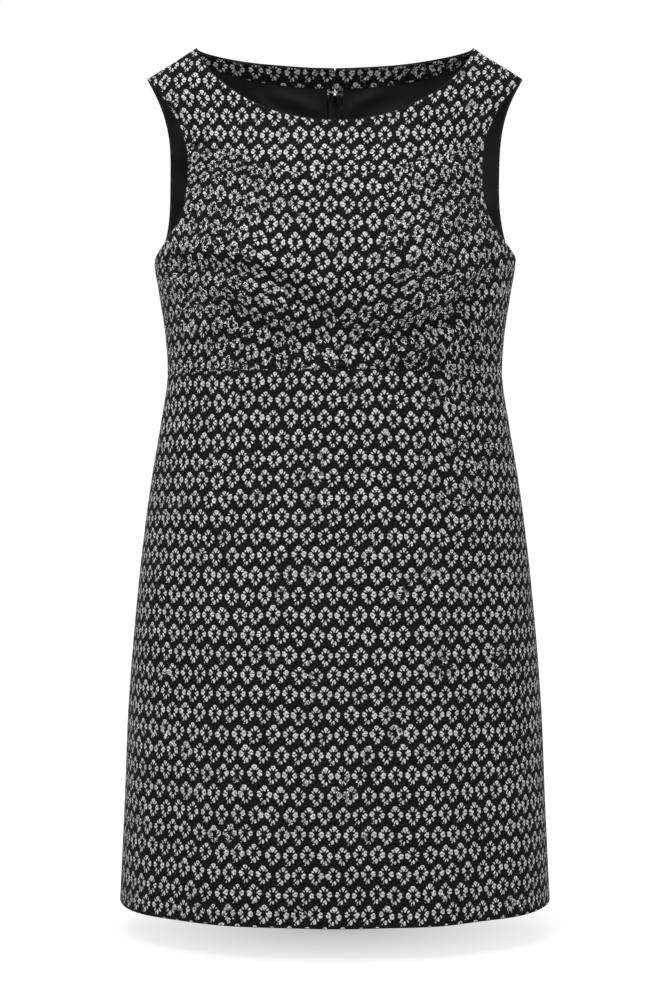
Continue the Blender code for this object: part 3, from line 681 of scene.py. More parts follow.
def place_in_floret(tree, grain, pitch, row_height):
    """The place in millimetres from its floret's centre, and the floret's chance values."""
    x, y, _ = split_node(tree, grain)
    down = math_node(tree, "DIVIDE", y, row_height)
    row = math_node(tree, "FLOOR", down)
    step = math_node(tree, "FRACT", math_node(tree, "MULTIPLY", row, 0.5))
    across = math_node(tree, "ADD", math_node(tree, "DIVIDE", x, pitch), step)
    column = math_node(tree, "FLOOR", across)
    chances = floret_chances(tree, join_node(tree, column, row))
    local = []
    for value, whole, length, chance in (
        (across, column, pitch, chances[2]), (down, row, row_height, chances[3])
    ):
        share = math_node(tree, "SUBTRACT", math_node(tree, "SUBTRACT", value, whole), 0.5)
        size = math_node(tree, "MULTIPLY", length, FLORET_SCALE)
        off_centre = math_node(tree, "SUBTRACT", chance, MIDDLE)
        shift = math_node(tree, "MULTIPLY", off_centre, SHIFT_SPREAD)
        local.append(math_node(tree, "ADD", math_node(tree, "MULTIPLY", share, size), shift))
    turned = tree.nodes.new("ShaderNodeVectorRotate")
    turned.rotation_type = "Z_AXIS"
    feed(tree, turned.inputs["Vector"], join_node(tree, *local))
    lean = math_node(tree, "MULTIPLY", math_node(tree, "SUBTRACT", chances[1], MIDDLE), TURN_SPREAD)
    feed(tree, turned.inputs["Angle"], lean)
    return turned.outputs[0], chances


print("florets vary from", LEAST, "to", MOST, "of their size")


# %% The floret figure
def make_floret_group():
    """Figure is where the pale thread shows, and Tone how bright it is."""
    tree, given, result = new_group(
        "floret figure",
        [("Grain", "Vector", None), ("Pitch", "Float", 0.0163), ("Row", "Float", 0.0184),
         ("Worn", "Float", 0.0)],
        [("Figure", "Float"), ("Tone", "Float")],
    )
    grain, pitch, row_height, worn = (given.outputs[k] for k in ("Grain", "Pitch", "Row", "Worn"))
    from_here = math_node(tree, "SUBTRACT", 0.61, math_node(tree, "MULTIPLY", worn, 0.15))
    patch = noise_node(tree, grain, 26.0, 2.0).outputs[0]
    tired = remap(tree, math_node(tree, "SUBTRACT", patch, from_here), 0.0, 0.09, 0, 1)
    moved = pulled_grain(tree, grain, tired)
    floret_place, chances = place_in_floret(tree, moved, pitch, row_height)

    depth = deepest(tree, floret_place, chances, PETALS)
    petals = remap(tree, depth, 0.94, 0.80, smooth=True)
    from_rim = math_node(tree, "ABSOLUTE", math_node(tree, "SUBTRACT", depth, 0.86))
    outlined = remap(tree, from_rim, 0.30, 0.14, smooth=True)
    outlined = math_node(tree, "SUBTRACT", outlined, petals)
    outlined = math_node(tree, "MULTIPLY", outlined, math_node(tree, "MULTIPLY", tired, 0.8))
    petals = math_node(tree, "ADD", petals, outlined)

    threads = deepest(tree, floret_place, chances, DARK_THREADS)
    dark = remap(tree, threads, 1.2, 0.7, smooth=True)
    figure = math_node(tree, "MULTIPLY", petals, math_node(tree, "SUBTRACT", 1.0, dark))
    strands = noise_node(tree, grain, 310.0, 2.0, 0.6).outputs[0]
    strands = remap(tree, strands, 0.51, 0.54, 0, 1)
    kept = math_node(tree, "SUBTRACT", 1.0, math_node(tree, "MULTIPLY", tired, strands))
    feed(tree, result.inputs["Figure"], math_node(tree, "MULTIPLY", figure, kept))

    tone = noise_node(tree, grain, 520.0, 3.0, 0.6).outputs[0]
    tone = remap(tree, tone, 0.32, 0.68, 0.42, 1.42)
    heart = remap(tree, depth, 0.10, 0.70, 0.78, 1.0)
    lifted = math_node(tree, "ADD", math_node(tree, "MULTIPLY", tired, 0.55), 1.0)
    tone = math_node(tree, "MULTIPLY", math_node(tree, "MULTIPLY", tone, heart), lifted)
    feed(tree, result.inputs["Tone"], tone)
    return tree


floret_group = make_floret_group()
print("floret figure:", len(floret_group.nodes), "nodes")

# %% [markdown]
# ## The weave
# Close to, the cloth is a fine plain weave, about two threads to the millimetre. Both the
# jacquard and the lining need it, at their own pitch, so it is a group too: a height for the
# bump, and a tone, because threads differ a little in colour.

# %% The weave group
def make_weave_group():
    tree, given, result = new_group(
        "plain weave",
        [("Grain", "Vector", None), ("Thread", "Float", 0.0005)],
        [("Height", "Float"), ("Tone", "Float")],
    )
    waves = []
    for place in split_node(tree, given.outputs["Grain"])[:2]:
        turn = math_node(tree, "DIVIDE", place, given.outputs["Thread"])
        waves.append(math_node(tree, "SINE", math_node(tree, "MULTIPLY", turn, math.pi)))
    crossing = math_node(tree, "MULTIPLY", waves[0], waves[1])
    slub = noise_node(tree, given.outputs["Grain"], 900.0, 3.0, 0.7).outputs[0]
    height = math_node(tree, "ADD", math_node(tree, "MULTIPLY", crossing, 0.5), slub)
    feed(tree, result.inputs["Height"], height)
    feed(tree, result.inputs["Tone"], slub)
    return tree


weave_group = make_weave_group()
print("plain weave:", len(weave_group.nodes), "nodes")

# %% [markdown]
# ## Finishes of the cloth
# The jacquard is matt with a faint bloom, so it has almost no gloss and a little sheen. The
# bodice, the skirt and the facing each have a material of their own, because the cloth is worn
# in other places there: at the sides and under the bust, beside one dart, or all over. The
# reverse shows the figure faintly. Lining, tape, thread and raw edge share one plain cloth.

# %% A start for every material
def new_material(name, roughness, sheen=0.0, sheen_rough=0.4, metallic=0.0, specular=0.5):
    material = bpy.data.materials.new(name)
    material.use_nodes = True
    shader = material.node_tree.nodes["Principled BSDF"]
    shader.inputs["Roughness"].default_value = roughness
    shader.inputs["Metallic"].default_value = metallic
    shader.inputs["Sheen Weight"].default_value = sheen
    shader.inputs["Sheen Roughness"].default_value = sheen_rough
    shader.inputs["Specular IOR Level"].default_value = specular
    return material, material.node_tree, shader


def grain_node(tree):
    node = tree.nodes.new("ShaderNodeUVMap")
    node.uv_map = "grain"
    return node.outputs[0]


def use_group(tree, group, **values):
    node = tree.nodes.new("ShaderNodeGroup")
    node.node_tree = group
    for label, value in values.items():
        feed(tree, node.inputs[label], value)
    return node


def add_bump(tree, shader, height, distance, strength=1.0):
    bump = tree.nodes.new("ShaderNodeBump")
    bump.inputs["Strength"].default_value = strength
    bump.inputs["Distance"].default_value = distance
    feed(tree, bump.inputs["Height"], height)
    tree.links.new(bump.outputs[0], shader.inputs["Normal"])


print("materials so far:", len(bpy.data.materials))

# %% The jacquard materials
JACQUARD_THREAD = 0.00055


def make_jacquard(name, ground, figure, speck, sheen, wear=0.1):
    """wear is one number, or a function that gives how worn the cloth is at each place."""
    material, tree, shader = new_material(name, 0.92, sheen=sheen, sheen_rough=0.35, specular=0.05)
    grain = grain_node(tree)
    worn = wear(tree, grain) if callable(wear) else wear
    floret = use_group(tree, floret_group, Grain=grain, Worn=worn)
    weave = use_group(tree, weave_group, Grain=grain, Thread=JACQUARD_THREAD)
    fleck = noise_node(tree, grain, 640.0, 2.0, 0.7).outputs[0]
    fleck = remap(tree, fleck, 0.48, 0.62, 0, 0.40)
    ground_colour = mix_colour(tree, fleck, (*ground, 1), (*speck, 1))
    ground_tone = remap(tree, weave.outputs["Tone"], 0.3, 0.7, 0.6, 1.4)
    ground_colour = mix_colour(tree, 1.0, ground_colour, ground_tone, "MULTIPLY")
    figure_colour = mix_colour(tree, 1.0, (*figure, 1), floret.outputs["Tone"], "MULTIPLY")
    colour = mix_colour(tree, floret.outputs["Figure"], ground_colour, figure_colour)
    tree.links.new(colour, shader.inputs["Base Color"])
    raised = math_node(tree, "MULTIPLY", floret.outputs["Figure"], 0.8)
    height = math_node(tree, "ADD", weave.outputs["Height"], raised)
    add_bump(tree, shader, height, 0.00018)
    return material


def bodice_wear(tree, grain):
    """The florets break up towards the sides of the bodice and under the bust."""
    x, y, _ = split_node(tree, grain)
    aside = remap(tree, math_node(tree, "ABSOLUTE", x), 0.035, 0.085, 0.1, 1.50)
    under_bust = remap(tree, y, -0.045, -0.080, 0.1, 1.4)
    return math_node(tree, "MAXIMUM", aside, under_bust)


def skirt_wear(tree, grain):
    """They are jumbled beside the top of the dart at +X, and sound elsewhere."""
    x, y, _ = split_node(tree, grain)
    from_dart = math_node(tree, "ABSOLUTE", math_node(tree, "SUBTRACT", x, 0.150))
    beside = remap(tree, from_dart, 0.080, 0.035, 0.0, 1.1)
    near_top = remap(tree, y, -0.29, -0.20, 0.0, 1.0)
    return math_node(tree, "ADD", math_node(tree, "MULTIPLY", beside, near_top), 0.15)


PALE, DARK, FLECK = (0.53, 0.53, 0.535), (0.0016, 0.0016, 0.0019), (0.050, 0.050, 0.053)
jacquard = make_jacquard("jacquard", DARK, PALE, FLECK, 0.02)
jacquard_bodice = make_jacquard("jacquard of the bodice", DARK, PALE, FLECK, 0.02, bodice_wear)
jacquard_facing = make_jacquard("jacquard of the facing", DARK, PALE, FLECK, 0.02, 0.9)
jacquard_skirt = make_jacquard("jacquard of the skirt", DARK, PALE, FLECK, 0.02, skirt_wear)
jacquard_reverse = make_jacquard(
    "jacquard reverse", (0.014, 0.014, 0.015), (0.15, 0.15, 0.155), (0.09, 0.09, 0.095), 0.05
)
print("jacquards:", [m.name for m in bpy.data.materials if m.name.startswith("jacquard")])


# %% The plain cloths
def make_plain_cloth(name, colour, thread, roughness, sheen, bump):
    material, tree, shader = new_material(name, roughness, sheen=sheen, specular=0.25)
    grain = grain_node(tree)
    weave = use_group(tree, weave_group, Grain=grain, Thread=thread)
    tone = remap(tree, weave.outputs["Tone"], 0.3, 0.7, 0.7, 1.35)
    cloudy = remap(tree, noise_node(tree, grain, 25.0, 3.0).outputs[0], 0.3, 0.7, 0.85, 1.15)
    both = math_node(tree, "MULTIPLY", tone, cloudy)
    shade = mix_colour(tree, 1.0, (*colour, 1), both, "MULTIPLY")
    tree.links.new(shade, shader.inputs["Base Color"])
    matt = remap(tree, weave.outputs["Tone"], 0.3, 0.7, roughness - 0.08, roughness + 0.08)
    tree.links.new(matt, shader.inputs["Roughness"])
    add_bump(tree, shader, weave.outputs["Height"], bump)
    return material


lining_cloth = make_plain_cloth(
    "black lining", (0.0065, 0.0065, 0.0075), 0.00025, 0.50, 0.05, 0.00004
)
tape_cloth = make_plain_cloth("zip tape", (0.0060, 0.0060, 0.0070), 0.0006, 0.75, 0.06, 0.00014)
thread_cloth = make_plain_cloth(
    "sewing thread", (0.012, 0.012, 0.013), 0.0003, 0.70, 0.10, 0.00005
)
ground_cloth = make_plain_cloth(
    "jacquard edge", (0.0045, 0.0045, 0.0050), JACQUARD_THREAD, 0.92, 0.02, 0.00010
)
print("plain cloths:", [m.name for m in (lining_cloth, tape_cloth, thread_cloth, ground_cloth)])

# %% [markdown]
# ## From places to a shell
# Each cut piece is one closed thin shell: a right side on the form, a wrong side a
# millimetre in, and a rim between. Where the cloth is turned under, at the neck,
# armholes and hem, the rim is round. At a seam it dips inwards to meet its neighbour.

# %% Shell of a cut piece
BARE_RIM = 0.00005


def boundary_loop(rows, columns):
    top = [(0, j) for j in range(columns)]
    right = [(i, columns - 1) for i in range(1, rows)]
    bottom = [(rows - 1, j) for j in range(columns - 2, -1, -1)]
    left = [(i, 0) for i in range(rows - 2, 0, -1)]
    return np.array(top + right + bottom + left)


def add_mesh(name, points, faces, finishes):
    mesh = bpy.data.meshes.new(name)
    mesh.from_pydata(points.tolist(), [], faces)
    for finish in finishes:
        mesh.materials.append(finish)
    made = bpy.data.objects.new(name, mesh)
    bpy.context.scene.collection.objects.link(made)
    return made, mesh


def set_grain(mesh, corner_grain):
    layer = mesh.uv_layers.new(name="grain")
    layer.data.foreach_set("uv", corner_grain.astype(np.float32).ravel())


def shell(name, outer, normals, thickness, grain, rounding, finishes):
    """A closed shell. rounding gives each boundary place how far its rim swells out."""
    rows, columns = outer.shape[:2]
    inner = outer - normals * thickness
    loop = boundary_loop(rows, columns)
    rim_out, rim_in = outer[loop[:, 0], loop[:, 1]], inner[loop[:, 0], loop[:, 1]]
    tangent = np.roll(rim_out, -1, axis=0) - np.roll(rim_out, 1, axis=0)
    away = np.cross(tangent, rim_out - rim_in)
    away /= np.maximum(np.linalg.norm(away, axis=1, keepdims=True), 1e-9)
    edge_middle, next_in = rim_out[columns // 2], outer[2, columns // 2]
    if np.dot(away[columns // 2], edge_middle - next_in) < 0:
        away = -away
    turns = np.array([0.25, 0.5, 0.75]) * math.pi
    middle, half = (rim_out + rim_in) / 2, (rim_out - rim_in) / 2
    rims = [middle + half * math.cos(t) + away * rounding[:, None] * math.sin(t) for t in turns]
    points = np.concatenate([outer.reshape(-1, 3), inner.reshape(-1, 3), *rims])
    count = rows * columns
    ids = np.arange(count).reshape(rows, columns)
    quads = np.stack([ids[:-1, :-1], ids[1:, :-1], ids[1:, 1:], ids[:-1, 1:]], axis=-1)
    quads = quads.reshape(-1, 4)
    ring = ids[loop[:, 0], loop[:, 1]]
    rounded = [2 * count + k * len(ring) + np.arange(len(ring)) for k in range(len(rims))]
    rings = [ring, *rounded, ring + count]
    sides = [np.stack([a, np.roll(a, -1), np.roll(b, -1), b], axis=-1)
             for a, b in zip(rings, rings[1:])]
    faces = np.concatenate([quads, quads[:, ::-1] + count, *sides])
    first = outer[1, 0] - outer[0, 0]
    if np.dot(np.cross(first, outer[0, 1] - outer[0, 0]), normals[0, 0]) < 0:
        faces = faces[:, ::-1]
    flat = grain.reshape(-1, 2)
    rim_grain = grain[loop[:, 0], loop[:, 1]]
    uv = np.concatenate([flat, flat, *[rim_grain] * len(rims)])
    made, mesh = add_mesh(name, points, faces.tolist(), finishes)
    set_grain(mesh, uv[faces.ravel()])
    slots = np.zeros(len(faces), np.int32)
    slots[len(quads):2 * len(quads)] = 1
    slots[2 * len(quads):] = len(finishes) - 1
    mesh.polygons.foreach_set("material_index", slots)
    mesh.shade_smooth()
    return made


def rim_rounding(shape, turned, swell=0.0007):
    """Rim swell for each boundary place; turned(i, j) says where the edge is turned under."""
    loop = boundary_loop(*shape)
    return np.array([swell if turned(i, j) else BARE_RIM for i, j in loop])


print("a 3 by 3 grid has", len(boundary_loop(3, 3)), "boundary places")

# %% Seams and areas
SEAM_DEPTH, SEAM_WIDTH = 0.0010, 0.0013
PUCKER, PUCKER_AT = 0.00016, 0.004
STEP_ALONG = 0.003


def edge_distances(points):
    """Distance along the cloth from the first row, last row, first column and last column."""
    down, across = running_length(points, 0), running_length(points, 1)
    return down, down[-1:] - down, across, across[:, -1:] - across


def area_of(points):
    across, down = points[:-1, 1:] - points[:-1, :-1], points[1:, :-1] - points[:-1, :-1]
    return float(np.linalg.norm(np.cross(across, down), axis=-1).sum())


def seam_dip(distance, seed):
    """A seam's groove: the cloth turns in over 2 mm, with a light pucker beside it."""
    source = np.random.default_rng(seed)
    rows, columns = np.indices(distance.shape)
    seam_runs_down = distance[:, 0].std() < distance[0].std()
    along = STEP_ALONG * (rows if seam_runs_down else columns)
    pucker = sum(np.sin(along / wave + source.uniform(0, 6)) for wave in (0.0046, 0.0073))
    near = np.exp(-((distance - PUCKER_AT) / 0.003) ** 2)
    return PUCKER * pucker * near - SEAM_DEPTH * np.exp(-(distance / SEAM_WIDTH) ** 2)


print("groove at a seam:", round(float(seam_dip(np.zeros((2, 2)), 1)[0, 0]) * 1000, 2), "mm")

# %% One cut piece of cloth
SHEETS = []


def cloth_piece(node, side, places, lifts, seams, turned, finishes, flip=1.0, depth=0.0,
                thickness=0.0011, extra=None, swell=0.0007):
    """Builds one cut piece on the form and notes its cut. lifts moves its grain; seams are edges
    (0 top, 1 bottom, 2 first column, 3 last column) that dip in; flip -1 mirrors it in X."""
    x, z = places
    base, normals = form_points(side, x, z), form_normals(side, x, z)
    height = fold_height(side, x * flip, z)
    if extra is not None:
        height = height + extra(x * flip, z)
    distances = edge_distances(base)
    for edge in seams:
        height = height + seam_dip(distances[edge], 11 + edge)
    outer = base + normals * (height - depth)[..., None]
    round_x, up = grain_of(side, x, z)
    flat_size = (float(np.ptp(round_x)), float(np.ptp(up)))
    sideways, lift = lifts(x * flip, z)
    grain = np.stack([round_x * flip + sideways, up - lift], axis=-1)
    outer[..., 0] *= flip
    normals = normals * np.array([flip, 1, 1])
    rounding = rim_rounding(x.shape, turned, swell)
    made = shell(node + "_cloth", outer, normals, thickness, grain, rounding, finishes)
    area = min(area_of(outer), flat_size[0] * flat_size[1])
    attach(made, BODY)
    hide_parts(node)
    SHEETS.append((made, flat_size, area))
    print(made.name, len(made.data.polygons), "faces, cut",
          [round(v, 3) for v in flat_size], "m, area", round(area, 4), "m2")
    return made


print("packed nodes to dress:", len(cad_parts))

# %% [markdown]
# ## The front
# The front is three cut pieces. The yoke is a band round the neck, cut so that its rows smile a
# little. The bodice rows lie flat between the two breaks, climb to the sides above the bust and
# meet in a V under it. The skirt rows run level, broken only by its two darts. Each piece could
# be modelled by hand, but one function builds them all, so that their seams always match.

# %% Where the grain lifts
def yoke_grain(x, z):
    """The rows smile. Over the shoulder the cloth is eased, so the rows stand further apart."""
    rise = np.where(x < 0, 0.42 * x**2, 0.82 * x**2)
    round_x, up = grain_of("front", x, z)
    eased = 0.85 * np.maximum(up - (z - GRAIN_Z) - 0.004, 0.0)
    across = 0.9 * ramp(z, -0.105, -0.045) * (x - round_x)
    return across + 0.0005, rise + eased + slow_waves(x, z, 33, 0.060, 0.0006)


def bodice_grain(x, z):
    """Above the bust the rows climb to the sides. Under it they climb from a V in the middle."""
    low = ramp(z, -0.222, -0.285)
    upper = 0.36 * np.maximum(np.abs(x) - 0.056, 0) * ramp(np.abs(x), 0.050, 0.075)
    left = 0.85 * upper * ramp(z, -0.110, -0.150) - 0.22 * np.maximum(-x - 0.125, 0)
    upper = np.where(x < 0, left, upper)
    under = np.minimum(0.34 * np.maximum(-x, 0), 0.034) + np.minimum(0.27 * np.maximum(x, 0), 0.032)
    lean = np.where(x < 0, -0.34, 0.27) * ramp(np.abs(x), 0.0, 0.03) * 0.45
    lean_up = np.sign(x) * 0.30 * ramp(np.abs(x), 0.050, 0.080) * 0.5
    sideways = mix(lean_up * (z + 0.19), lean * (z + 0.285), low)
    wander = slow_waves(x, z, 31, 0.050, 0.0011)
    return sideways + 0.004 + 0.5 * wander, mix(upper, under, low) + wander


def skirt_grain(x, z):
    """The rows drop a little outside each dart, and are jumbled beside the one at +X."""
    outside = ramp(np.abs(x), 0.0960, 0.1060)
    fade = ramp(z, -0.600, -0.400)
    drop = np.where(x > 0, -0.0075, -0.0030) * outside * fade
    wander = slow_waves(x, z, 35, 0.090, 0.0009)
    beside = np.exp(-(((x - 0.118) / 0.026) ** 2)) * ramp(z, -0.50, -0.40)
    wander = wander + beside * slow_waves(x, z, 37, 0.024, 0.0016)
    return 0.0010 + 0.6 * wander, drop + wander


lift = float(yoke_grain(np.array(0.10), np.array(-0.12))[1])
print("yoke row lifted at x 0.10:", round(lift * 1000, 1), "mm")

# %% Yoke
yoke_places = front_yoke_places()
yoke_rows, yoke_columns = yoke_places[0].shape
yoke_seam_from = round((yoke_columns - 1) / 2 * (1 - YOKE_SEAM_SHARE))


def yoke_edge_turned(i, j):
    on_seam = i == yoke_rows - 1 and yoke_seam_from < j < yoke_columns - 1 - yoke_seam_from
    return not on_seam and j not in (0, yoke_columns - 1)


def yoke_seam_groove(x, z):
    seam_z = smooth_curve(YOKE_SEAM[:, 0], YOKE_SEAM[:, 1], np.abs(x))
    away = np.where(np.abs(x) < YOKE_SEAM[-1, 0], np.abs(z - seam_z), 1.0)
    return -SEAM_DEPTH * np.exp(-(away / 0.0016) ** 2)


def finished(right_side):
    """The right side, the wrong side and the edge of a piece."""
    return right_side, jacquard_reverse, ground_cloth


cloth_piece("front_yoke", "front", yoke_places, yoke_grain, (2, 3), yoke_edge_turned,
            finished(jacquard), extra=yoke_seam_groove)


# %% Bodice and skirt
def rows_above_underarm(places):
    return int((places[1][:, -1] > UNDERARM_Z + 1e-6).sum())


bodice_places = front_bodice_places()
chest_rows = rows_above_underarm(bodice_places)
cloth_piece(
    "front_bodice", "front", bodice_places, bodice_grain, (0, 1),
    lambda i, j: 0 < i < chest_rows, finished(jacquard_bodice),
)
cloth_piece(
    "front_skirt", "front", front_skirt_places(), skirt_grain, (0,),
    lambda i, j: i > 10 and j not in (0, 2 * SKIRT_ACROSS), finished(jacquard_skirt),
)

# %% [markdown]
# ## The back
# Each half of the back is one cut piece from shoulder to hem, split by the zip. The view from
# the front shows only its neck edge, so the rest is plain, with a few folds at the waist. It is
# built once and mirrored, and each half has its own folds, because cloth never hangs evenly.

# %% Back panels
def back_grain(x, z):
    rise = 0.30 * np.maximum(np.abs(x) - 0.05, 0) ** 1.5 * ramp(z, -0.16, -0.05)
    return 0.0 * x + 0.006, rise + 0.004


back_grid = back_places()
back_side = rows_above_underarm(back_grid)


def back_edge_turned(i, j):
    on_neck = i == 0 and back_shares[j] < NECK_SHARE
    on_armhole = j == len(back_shares) - 1 and 0 < i < back_side
    return on_neck or on_armhole or i == len(back_grid[1]) - 1


for half, flip in HALVES:
    cloth_piece("back_" + half, "back", back_grid, back_grain, (2,), back_edge_turned,
                finished(jacquard), flip=flip)

# %% [markdown]
# ## Lining and neck facing
# Inside the back lie a black lining, loose and a little creased, and a facing of the jacquard that
# finishes the neck. The facing is sewn with its right side to the wearer, so its figure shows
# through the neck. Both are made from the back's own places, moved in by what lies over them.

# %% Folds of the lining
LINING_DEPTH = CLOTH + GAP
FACING_DEPTH = LINING_DEPTH + LINING + GAP
FACING_SHARE = 0.155  # of the way from the neck to the shoulder blades
TUCK_SHARE = 0.45 * FACING_SHARE  # how far up under the facing the lining reaches
TAPE_EDGE, LINING_EDGE = 0.0065, 0.0080
LINING_FOLDS = [
    ([(0.012, -0.050), (0.026, -0.036), (0.050, -0.027)], 0.0060, -0.0022),
    ([(0.026, -0.066), (0.052, -0.052), (0.092, -0.036)], 0.0075, -0.0024),
    ([(-0.016, -0.046), (-0.040, -0.036), (-0.072, -0.030)], 0.0065, -0.0020),
    ([(-0.030, -0.070), (-0.062, -0.052), (-0.090, -0.028)], 0.0075, -0.0022),
    ([(0.166, -0.080), (0.160, -0.120), (0.150, -0.170)], 0.0070, -0.0022),
    ([(-0.164, -0.070), (-0.160, -0.120), (-0.148, -0.180)], 0.0070, -0.0022),
    ([(0.060, -0.130), (0.072, -0.200), (0.066, -0.290)], 0.0120, -0.0030),
    ([(-0.052, -0.120), (-0.066, -0.200), (-0.070, -0.300)], 0.0120, -0.0030),
]


def lining_looseness(x, z):
    total = slow_waves(x, z, 21, 0.045, 0.0005) - 0.0005
    for line, half_width, height in LINING_FOLDS:
        total = total + stroke_height(x, z, line, half_width, height, 0.0)
    return np.minimum(total, 0.0) * ramp(np.abs(x), 0.009, 0.020)


def plain_grain(x, z):
    return 0.0 * x, 0.0 * z


print("lining folds:", len(LINING_FOLDS))

# %% Places of the lining, facing and tapes
UPPER_ROWS = 66
TAPE_TOP_Z = -0.0135


def lining_places():
    """From under the facing, or from the shoulder, down to the seam under the bust."""
    columns = back_shares[back_shares >= 0.0085]
    keep = np.isin(back_shares, columns)
    x, z = back_places(end_z=EMPIRE_Z)
    x, z = np.maximum(x[:, keep], LINING_EDGE), z[:, keep]
    start = TUCK_SHARE * ramp(columns, 0.70, 0.64)
    rows = np.arange(len(z))[:, None] / UPPER_ROWS
    moved = np.where(rows < 1, mix(start, 1, rows), rows) * UPPER_ROWS
    low = np.clip(moved.astype(int), 0, len(z) - 2)
    part, column = moved - low, np.arange(x.shape[1])[None, :]
    return [mix(grid[low, column], grid[low + 1, column], part) for grid in (x, z)]


def facing_places():
    columns = back_shares[back_shares <= 7 / 9]
    x, z, _, _ = back_upper_places(np.linspace(0, 1, 201))
    last = int(round(200 * FACING_SHARE))
    picks = np.unique(np.round(np.linspace(0, last, 18)).astype(int))
    x, z = x[picks][:, :len(columns)], z[picks][:, :len(columns)]
    return np.maximum(x, centre_opening(z)), z


def tape_places():
    _, z = back_places(end_z=ZIP_END_Z)
    rows = z[:, 0] < TAPE_TOP_Z
    edge = np.linspace(0, 1, 9)[None, :]
    level = z[rows][:, :1] + 0 * edge
    return mix(centre_opening(level), TAPE_EDGE, edge), level


def facing_grain(x, z):
    """The facing is stretched along the neck, so its florets show wider and lower."""
    round_x, up = grain_of("back", x, z)
    sideways, lift = back_grain(x, z)
    return sideways - 0.15 * round_x, lift + 0.10 * up


print("tape rows:", len(tape_places()[0]))

# %% Lining, facing and tapes
for half, flip in HALVES:
    cloth_piece("back_lining_" + half, "back", lining_places(), plain_grain, (), lambda i, j: True,
                (lining_cloth, lining_cloth), flip=flip, depth=LINING_DEPTH, thickness=0.0006,
                extra=lining_looseness, swell=0.0002)
    cloth_piece("neck_facing_" + half, "back", facing_places(), facing_grain, (), lambda i, j: True,
                (jacquard_reverse, jacquard_facing, ground_cloth), flip=flip,
                depth=FACING_DEPTH, thickness=0.0009, swell=0.0003)
    cloth_piece("zip_tape_" + half, "back", tape_places(), plain_grain, (), lambda i, j: False,
                (tape_cloth, tape_cloth), flip=flip, depth=LINING_DEPTH, thickness=0.0007)

# %% [markdown]
# ## Small made things: coils and stitches
# Coils and stitches are many copies of one little rounded bar, each laid along a line with its
# own direction. Each row of them is one mesh, so that thousands cost no time.

# %% One rounded bar
def bar_shape(sides=6):
    """A bar of length, width and height 1 along X, with its faces: the sides, then two caps."""
    rings = [(-0.5, 0.35), (-0.38, 0.85), (0.0, 1.0), (0.38, 0.85), (0.5, 0.35)]
    turn = np.arange(sides) / sides * 2 * math.pi
    points = [(x, r * math.cos(t) / 2, r * math.sin(t) / 2) for x, r in rings for t in turn]
    faces = []
    for k in range(len(rings) - 1):
        for s in range(sides):
            a, b = k * sides + s, k * sides + (s + 1) % sides
            faces.append((a, b, b + sides, a + sides))
    faces += [tuple(range(sides))[::-1], tuple(range(len(points) - sides, len(points)))]
    return np.array(points), faces


BAR_POINTS, BAR_FACES = bar_shape()
print("one bar has", len(BAR_FACES), "faces")


# %% Bars laid along a line
def lay_bars(name, centres, along, up, length, width, height, finish):
    """One mesh of bars; along is each bar's direction and up its outward direction."""
    along = along / np.linalg.norm(along, axis=1, keepdims=True)
    side = np.cross(up, along)
    side /= np.linalg.norm(side, axis=1, keepdims=True)
    long_part, wide_part, high_part = (BAR_POINTS[None, :, k:k + 1] for k in range(3))
    points = (centres[:, None] + along[:, None] * long_part * length
              + side[:, None] * wide_part * width + up[:, None] * high_part * height).reshape(-1, 3)
    shifts = (np.arange(len(centres)) * len(BAR_POINTS)).tolist()
    faces = [tuple(v + shift for v in face) for shift in shifts for face in BAR_FACES]
    made, mesh = add_mesh(name, points, faces, [finish])
    corner = np.empty(len(mesh.loops), np.int32)
    mesh.loops.foreach_get("vertex_index", corner)
    set_grain(mesh, points[corner][:, [0, 2]])
    mesh.shade_smooth()
    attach(made, BODY)
    print(name, len(centres), "bars")
    return made


print("bar corners:", len(BAR_POINTS))


# %% Stitches
STITCH_WIDTH, STITCH_HEIGHT = 0.00045, 0.0003
STITCH_SHARE = 0.72


def on_cloth(side, x, z, depth):
    """Points and outward directions at a depth inside the creased cloth."""
    normals = form_normals(side, x, z)
    return form_points(side, x, z) + normals * (fold_height(side, x, z) - depth)[:, None], normals


def read_along(marks, walked, values):
    return np.stack([np.interp(marks, walked, values[:, k]) for k in range(3)], -1)


def stitch_line(name, side, x, z, pitch, depth=-0.0001):
    points, normals = on_cloth(side, x, z, depth)
    walked = running_length(points, 0)
    marks = np.arange(pitch, walked[-1] - pitch, pitch)
    centres, ups = read_along(marks, walked, points), read_along(marks, walked, normals)
    ahead = read_along(marks + pitch / 4, walked, points)
    ups /= np.linalg.norm(ups, axis=1, keepdims=True)
    return lay_bars(name, centres, ahead - centres, ups, pitch * STITCH_SHARE,
                    STITCH_WIDTH, STITCH_HEIGHT, thread_cloth)


print("a 3 mm stitch shows", round(3 * STITCH_SHARE, 2), "mm of thread")

# %% [markdown]
# ## The zip
# A nylon coil runs down the centre back behind the seam, closed below the slider and parted
# above it. The slider body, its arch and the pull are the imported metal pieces. A row of stitches
# runs down each side of the opening and across its lower end. The coil could be one bent wire,
# but a short bar for each turn looks the same and costs less.

